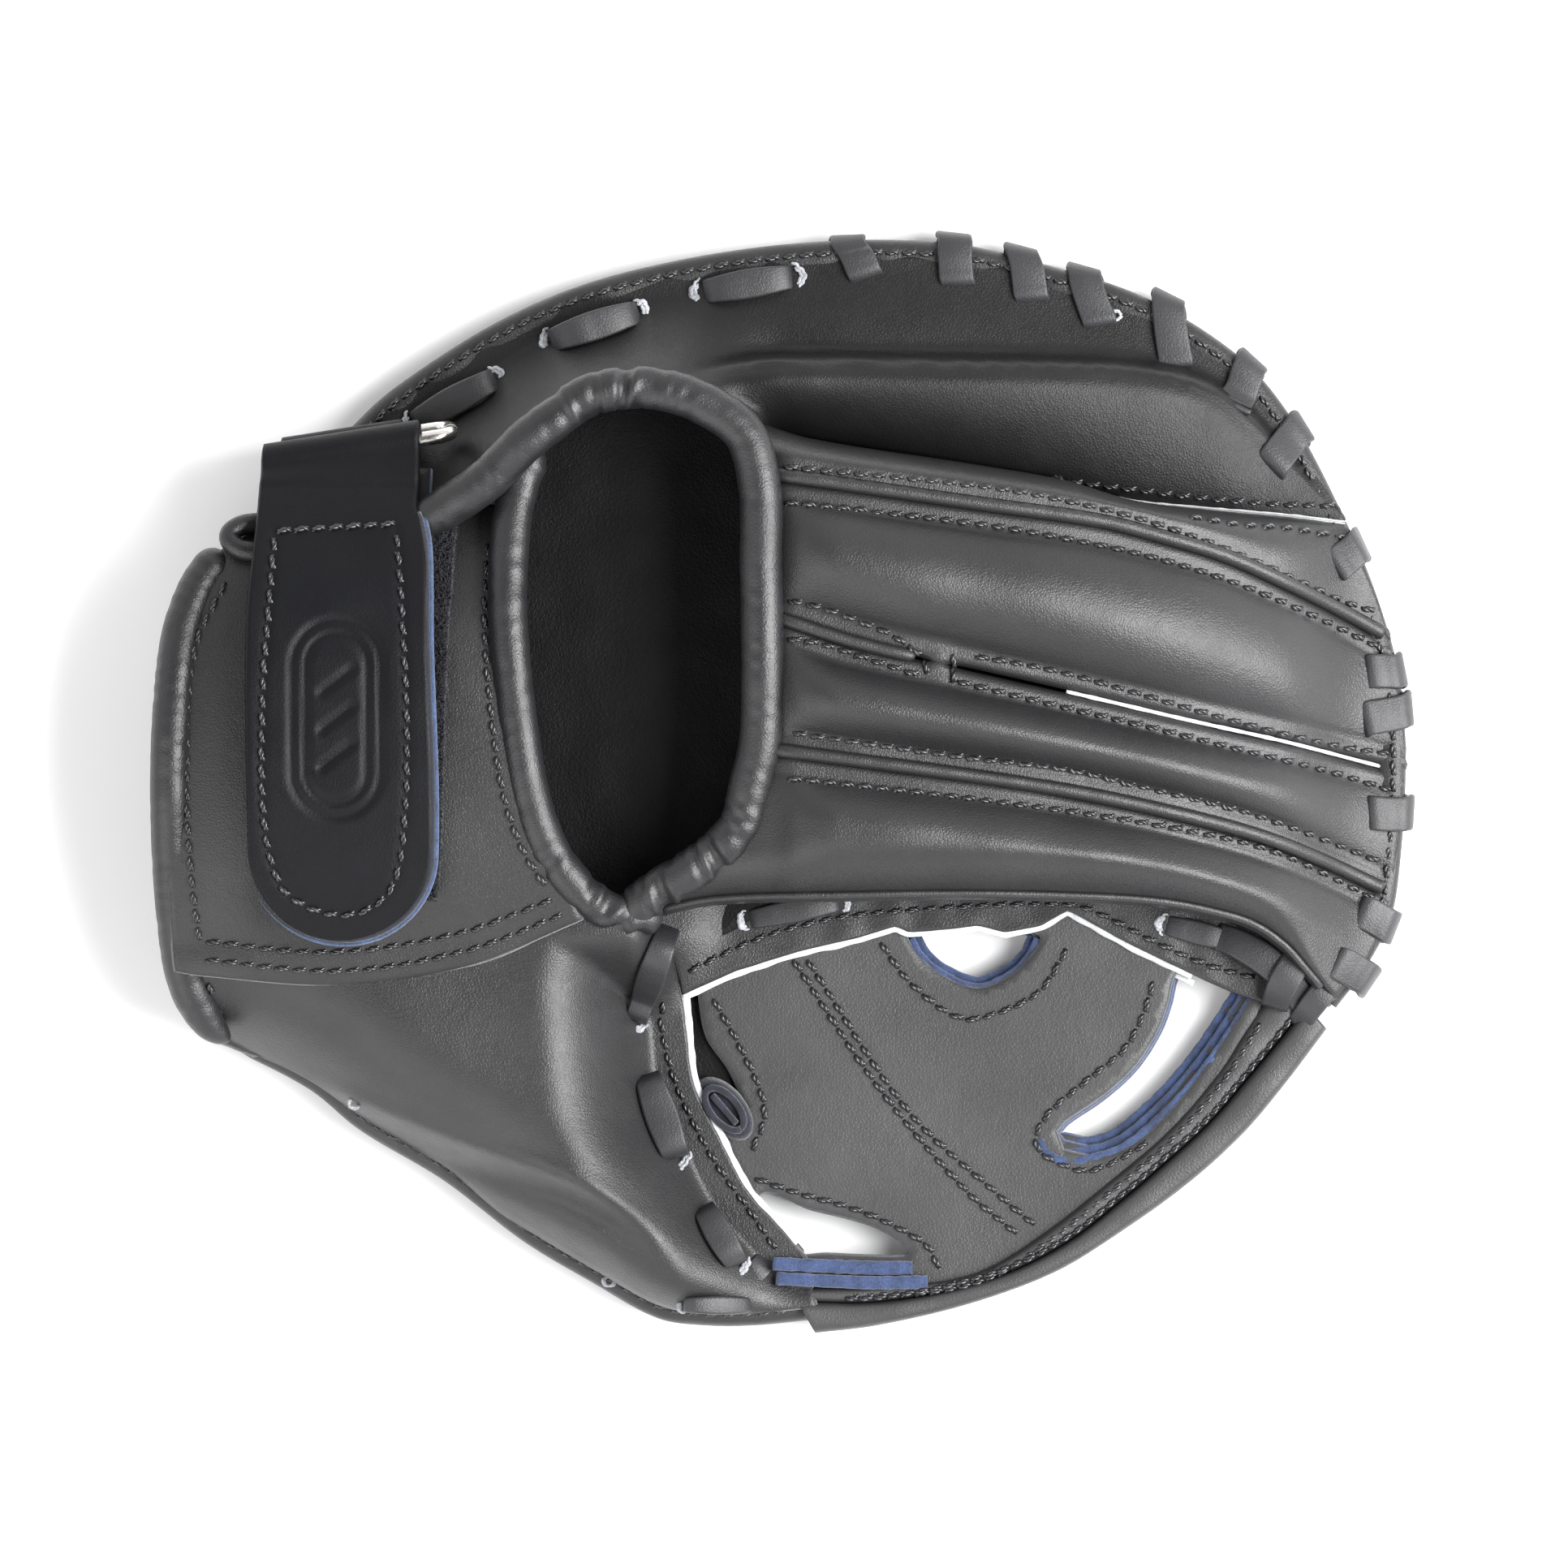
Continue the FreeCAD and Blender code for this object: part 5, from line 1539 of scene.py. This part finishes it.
loop_path = [
    (-108, 49.5, 38.0), (-113, 49.8, 38.6), (-117, 50.6, 38.4), (-119.0, 53, 37.6), (-117, 55.2, 36.6),
    (-113, 56, 35.6), (-108, 56, 34.6),
]
binding_end = swept(smooth(loop_path, 50), circle(2.2, 14, 0.85))
place(make_object("binding_end_loop", *binding_end, roll_hide), "binding_loop")

# ---------------------------------------------------------------- laces

lace_parts, eyelet_parts = [], []
LACE_SINK = 2.6


def ribbon(points, width, thick=1.7, bulge=0.06):
    """A flat lace along points in space, a little narrower at its ends."""
    path = smooth(points, max(int(length(points) / 0.7), 14))
    swell_by = 1 - bulge * np.cos(np.linspace(0, 2 * math.pi, len(path)))
    lace_parts.append(swept(path, flat_section(width, thick), UP, swell_by))


def eyelet(x, y, z, radius, squash, turn=0.0, span=(0, 2 * math.pi), heavy=0.5):
    """A hole's torn, paler lip, or the part of it between two angles."""
    a = np.linspace(*span, 26)
    wobble = 1 + 0.06 * np.sin(5 * a + x) + 0.05 * np.sin(12 * a + y)
    flat = np.stack([np.cos(a) * radius, np.sin(a) * radius * squash], 1) * wobble[:, None]
    c, s = math.cos(turn), math.sin(turn)
    plan = flat @ array([[c, s], [-s, c]]) + [x, y]
    path = lifted(plan, z)
    uneven = 0.85 + 0.15 * np.sin(2.6 * a + x + y)
    if span[1] - span[0] < 6:
        uneven *= 0.35 + 0.65 * np.sin(np.linspace(0.1, math.pi - 0.1, len(a)))
    eyelet_parts.append(swept(path, circle(heavy, 7), UP, uneven))


WRAPS = [
    ((13.6, 118.2), (17.5, 109.4)), ((36.6, 118.8), (37.8, 108)), ((51.3, 116), (53.4, 104.5)),
    ((64.7, 111.6), (68.3, 99.1)), ((83, 105.6), (84.9, 90.7)), ((101.4, 91.9), (97.5, 81.7)),
    ((112.4, 77.7), (105.2, 68.3)), ((125.2, 52), (119, 47.3)), ((133.9, 24.6), (126.2, 24)),
    ((135.5, 16.6), (125.4, 13.6)), ((135.8, -6.0), (126.6, -6.6)), ((132, -31.4), (124.2, -27.6)),
    ((127.1, -43), (119, -38.6)),
]


def surface_z(x, y):
    """The top of whatever back hide lies there, for laces near the rim."""
    heights = [drop(key, x, y, -1.0)[0] for key in ("fingers", "index", "pinky", "edges", "flange")]
    return max(max(heights), 11.0)


for out, hole in WRAPS:
    out, hole = array(out), array(hole)
    way = (out - hole) / np.linalg.norm(out - hole)
    aside = array([-way[1], way[0]])
    closest = int(np.argmin(np.linalg.norm(rim - out, axis=1)))
    closest = min(max(closest, 2), len(rim) - 3)
    tangent = rim[closest - 2] - rim[closest + 2]
    tangent /= np.linalg.norm(tangent)
    edge = out - way * 1.6
    crest = max(surface_z(*(edge - way * 2.6)), PLATE_TOP) + 0.9
    points, ups, sides = [], [], []
    lip, back = hole + way * 1.5, hole + way * 3.6
    for at, z, up in (
        (hole - way * 0.3, surface_z(*hole) - 2.6, (-way[0], -way[1], 0.25)),
        (hole + way * 0.3, surface_z(*hole) - 0.4, (-way[0] * 0.9, -way[1] * 0.9, 0.6)),
        (lip, surface_z(*lip) + 0.8, (-way[0] * 0.3, -way[1] * 0.3, 0.95)),
        (back, max(surface_z(*back), PLATE_TOP) + 1.0, UP),
        (edge - way * 2.6, crest, (way[0] * 0.1, way[1] * 0.1, 1)),
        (edge + way * 0.2, crest - 1.0, (way[0] * 0.6, way[1] * 0.6, 0.8)),
        (edge + way * 1.4, 8.6, (way[0], way[1], 0.1)),
        (edge + way * 1.2, 4.8, (way[0], way[1], -0.2)),
        (edge - way * 0.4, 2.4, (way[0] * 0.6, way[1] * 0.6, -0.8)),
        (edge - way * 4.4, 1.45, (0, 0, -1)),
        (hole + way * 0.5, 1.4, (0, 0, -1)),
        (hole - way * 0.8, 2.6, (-way[0], -way[1], -0.6)),
    ):
        sway = aside * 0.4 * math.sin(at[0] * 0.7 + z)
        points.append((at[0] + sway[0], at[1] + sway[1], z))
        ups.append(up)
        share = np.clip(np.dot(at - hole, way) / np.dot(edge - hole, way), 0, 1)
        mixed = aside * (1 - share) + tangent * share
        sides.append((*(mixed / np.linalg.norm(mixed)), 0))
    path = smooth(points, 52)
    up_at, side_at = smooth(ups, 52), smooth(sides, 52)
    side_at /= np.linalg.norm(side_at, axis=1)[:, None]
    up_at -= side_at * (up_at * side_at).sum(1)[:, None]
    up_at /= np.linalg.norm(up_at, axis=1)[:, None]
    lace_parts.append(swept_by(path, flat_section(7.5, 1.5), side_at, up_at))


def surface_run(start, end, key, width, rise=1.3, torn=(True, True)):
    """A lace that comes up through one hole and goes down another; torn holes show pale."""
    a, b = array(start), array(end)
    points = []
    way = (b - a) / np.linalg.norm(b - a)
    aside = array([-way[1], way[0]]) * width * 0.45
    for t, lift in (
        (0.0, -LACE_SINK), (0.07, 0.0), (0.2, rise * 0.8), (0.35, rise), (0.5, rise), (0.65, rise),
        (0.8, rise * 0.8), (0.93, 0.0), (1.0, -LACE_SINK),
    ):
        at = a + (b - a) * t
        z = max(drop(key, *(at + aside * k))[0] for k in (-1, 0, 1))
        points.append((at[0], at[1], z + lift))
    ribbon(points, width, thick=1.5, bulge=0.12)
    for at, out, shown in ((a, -way, torn[0]), (b, way, torn[1])):
        if not shown:
            continue
        facing = math.atan2(out[1], out[0])
        for spread, far, heavy in ((1.35, 0.5, 0.66), (1.0, 0.38, 0.56)):
            spot = at - out * 0.5
            lip_z = drop(key, *spot)[0] + 0.15
            eyelet(*spot, lip_z, width * far, 1.0, facing, (-spread, spread), heavy)


surface_run((-17.5, 106.4), (1.9, 109.7), "pinky", 5.8)
surface_run((-49.9, 95.9), (-31.9, 101.9), "pinky", 5.8)
surface_run((-79.8, 78.1), (-62.8, 87.3), "pinky", 5.8)
surface_run((-24.8, -31.2), (-31.9, -50.8), "thumb", 5.6, torn=(False, True))
surface_run((-7.9, -29.4), (12.3, -25.4), "flange", 4.6, 1.0)
surface_run((-29.4, -63.2), (-23.4, -80.2), "thumb", 6.6, torn=(False, True))
surface_run((-17.2, -91.7), (-10.2, -103.4), "thumb", 5.6, torn=(False, True))
surface_run((-21.5, -112.3), (-7.3, -112.5), "thumb", 3.6, 0.7, torn=(True, False))
surface_run((82.5, -30.4), (97, -34), "flange", 4.6, 1.0, torn=(True, False))
ribbon([(94, -33, 13), (98, -34.5, 15.5), (104, -38, 16.6), (109, -42.5, 16.2), (112, -47, 13)], 6.4)
ribbon([(112.5, -35, 14), (110, -39, 17.8), (107.5, -43.5, 17.8), (106, -48, 13.6)], 6.4)
ribbon([(119, -41, 12), (116.5, -44.5, 15.4), (113.5, -48.5, 14.6), (111, -52, 11)], 5.4)
ribbon([(-3.2, -101.6, 9), (-5, -104.2, 12.6), (-7.6, -106.6, 13.2), (-10.5, -108.2, 12)], 5.0)
eyelet(71.6, 101.3, surface_z(71.6, 101.3) + 0.2, 1.2, 0.8)
for x, y in ((-37.8, -107.5), (-92.6, -68.9)):
    eyelet(x, y, drop("thumb", x, y)[0] + 0.2, 1.2, 0.8)


def gathered(parts, name, material, side, *nodes):
    """Builds the gathered runs on one side of the fold as one piece."""
    chosen = [part for part in parts if side * float((part[0][:, :2].mean(0) - HINGE_AT) @ HINGE_OUT) > 0]
    place(make_object(name, *merge(chosen), material, "lace_leather"), *nodes)


gathered(
    lace_parts, "laces_fingers", lace_hide, 1, "rim_wrap_laces", "running_lace", "crotch_lace",
    "web_tip_lace",
)
gathered(lace_parts, "laces_thumb", lace_hide, -1, "thumb_lace")
gathered(eyelet_parts, "eyelets_fingers", eyelet_edge, 1)
gathered(eyelet_parts, "eyelets_thumb", eyelet_edge, -1)

# ---------------------------------------------------------------- stitching

sew(offset(rim[20:], 2.9), "edges")
sew(offset(thumb_rim[4:-6], 2.8), "edges")
for row in (
    [(-0.4, 67.9), (41, 63.9), (61, 60.6), (81, 55.5), (101, 48.1), (121, 39.4), (128, 37.2)],
    [(-0.2, 60.2), (41, 55.8), (67.7, 51.1), (81, 48.1), (94.5, 44.1), (108, 39), (121, 33.2), (129, 29.4)],
    [(0.4, 39.4), (6.3, 38.3), (13.7, 35.9), (21, 32.9), (26.4, 29.6), (29.9, 26.5), (30.2, 23.4)],
    [(0.4, 31.2), (7.7, 30), (18.6, 26.6), (29, 23.3)],
    [(40.6, 27.3), (57.9, 24.2), (81, 17.9), (101, 12.4), (121, 7.9), (131.5, 6.5)],
    [(36.8, 22.1), (53, 18.2), (77.9, 12.4), (97.8, 7.5), (118, 2.6), (132, -1.6)],
    [(1.6, 11.2), (41, 5.6), (61, 3.2), (81, -1.6), (94.5, -4.6), (114.6, -11.2), (129, -16.8)],
):
    sew(row, "fingers")
sew([(36.2, 27.6), (36.2, 22.4)], "fingers", 2.6)
sew([(0.5, 1.2), (41, -3.3), (67.7, -6.7), (94.5, -11.6), (108, -15.6), (128, -25)], "index")
for key, rows in (
    ("pinky", (
        [(57, 66.4), (59.7, 65.6), (81, 62.9), (94.5, 61.4), (108, 60.4), (119.4, 60.2)],
        [(86.5, 57.4), (97.8, 55.8), (110, 55), (122.2, 53)],
    )),
    ("wrist", (
        [(-63.4, 52), (-64.2, 38), (-63.2, 20.5), (-60.2, -1.5), (-56, -14), (-51, -22)],
        [(-119.5, 43.5), (-126.2, 29), (-127.9, 2.5), (-127, -20), (-125.4, -34)],
        [(-124.4, -33.8), (-98, -36.1), (-71.2, -32.4), (-49.5, -24.8)],
        [(-124.6, -37.8), (-94.7, -40.1), (-67.9, -35.7), (-47.2, -27.9)],
    )),
    ("thumb", (
        [(-124, -42), (-120.4, -54.5)],
        [
            (-25.9, -46.5), (-26.6, -51.1), (-24.5, -61.3), (-21.2, -69.8), (-14.9, -81.6), (-7, -92.8),
            (-1.6, -100.8),
        ],
    )),
):
    for row in rows:
        sew(row, key)
sew(
    [
        (-21, -40.6), (-7.2, -34.1), (3, -30.8), (15, -28.4), (41, -26.4), (54.3, -26), (64.4, -26.6),
        (81.2, -34.6), (91.2, -39), (102, -42),
    ],
    "flange",
)
for row in (
    [(20.8, -34.1), (27.5, -43.1), (38.2, -50.6), (47.1, -49.2), (55.5, -44.6), (61.4, -35.4)],
    [
        (80, -42.5), (77.7, -49.9), (73.5, -57.4), (65.5, -64.1), (57, -71.6), (54.6, -77.6), (58.6, -81.6),
        (66.7, -83.5), (78.9, -77.5),
    ],
    [(-6.5, -85.2), (2.1, -88.2), (14.5, -91.7), (22.6, -95), (31, -100), (33.6, -105)],
    [(-15.4, -46.2), (-9.1, -57.6), (-4.7, -67.6), (-4.4, -73), (-7, -79.5)],
    [(1.9, -37.8), (20.5, -65.6), (39.2, -87.7), (50.5, -97.4)],
    [(4.9, -37.8), (27.1, -70.9), (47.3, -89.6), (54.5, -95.6)],
):
    sew(row, "web", 3.5)
sew(offset(line(TUBE_SEAM)[8:-12], -2.0), "web", 3.0)
sew(offset(line(TUBE_GROOVE)[4:-10], 1.1), "tube", 3.0)
place(flush_stitches("stitching_sides"))
sew(box_line[1:-1], "strap")
sew([(-108.9, 54.1), (-95, 55), (-83, 55.7)], "strap")
on_strap(flush_stitches("stitching_strap"))

# ---------------------------------------------------------------- floor, light and camera

FLOOR = 4.0
floor_mesh = bpy.data.meshes.new("floor")
floor_mesh.from_pydata(
    [(x * FLOOR, y * FLOOR, 0) for x, y in ((-1, -1), (1, -1), (1, 1), (-1, 1))], [], [(0, 1, 2, 3)],
)
floor = bpy.data.objects.new("floor", floor_mesh)
bpy.context.scene.collection.objects.link(floor)
paper = Shader("paper_white")
paper.set(Base_Color=paper.ramp(paper.noise(6, 3), [(0.3, (0.90, 0.90, 0.90)), (0.7, (0.93, 0.93, 0.93))]))
paper.set(Roughness=0.9, Specular_IOR_Level=0.1)
floor_mesh.materials.append(paper.material)
floor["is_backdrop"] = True

world = bpy.data.worlds.new("studio")
bpy.context.scene.world = world
world.use_nodes = True
sky = world.node_tree
way_up = sky.nodes.new("ShaderNodeTexCoord")
split = sky.nodes.new("ShaderNodeSeparateXYZ")
tent = sky.nodes.new("ShaderNodeValToRGB")
sky.links.new(way_up.outputs["Generated"], split.inputs[0])
sky.links.new(split.outputs["Z"], tent.inputs["Fac"])
sky.links.new(tent.outputs["Color"], sky.nodes["Background"].inputs["Color"])
stops = tent.color_ramp.elements
stops[0].position, stops[0].color = 0.0, (0.75, 0.75, 0.76, 1)
stops[1].position, stops[1].color = 0.94, (0.10, 0.10, 0.10, 1)
middle = stops.new(0.55)
middle.color = (0.95, 0.95, 0.96, 1)
inner = stops.new(0.80)
inner.color = (0.32, 0.32, 0.32, 1)
sky.nodes["Background"].inputs["Strength"].default_value = 1.45


def softbox(name, at, aim, width, depth, power):
    light = bpy.data.lights.new(name, "AREA")
    light.shape, light.size, light.size_y, light.energy = "RECTANGLE", width, depth, power
    obj = bpy.data.objects.new(name, light)
    bpy.context.scene.collection.objects.link(obj)
    obj.location = at
    obj.rotation_euler = (Vector(aim) - Vector(at)).to_track_quat("-Z", "Y").to_euler()


softbox("key", (0.82, -0.04, 0.86), (0.02, 0.0, 0.02), 0.8, 1.0, 39)
softbox("fill", (-0.6, -0.6, 0.8), (0.0, 0.0, 0.02), 1.0, 1.2, 8)

HALF_VIEW = 0.16905
CAMERA_HEIGHT = 3.2
PLANE = 0.02
camera_data = bpy.data.cameras.new("camera")
camera_data.sensor_width = 36
camera_data.lens = 18 * (CAMERA_HEIGHT - PLANE) / HALF_VIEW
camera_data.clip_end = 20
camera = bpy.data.objects.new("camera", camera_data)
camera.location = (0, 0, CAMERA_HEIGHT)
bpy.context.scene.collection.objects.link(camera)
bpy.context.scene.camera = camera
bpy.context.scene.view_settings.view_transform = "Standard"

visual_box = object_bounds()
plain = [[list(map(float, corner)) for corner in box] for box in (cad_box, visual_box)]
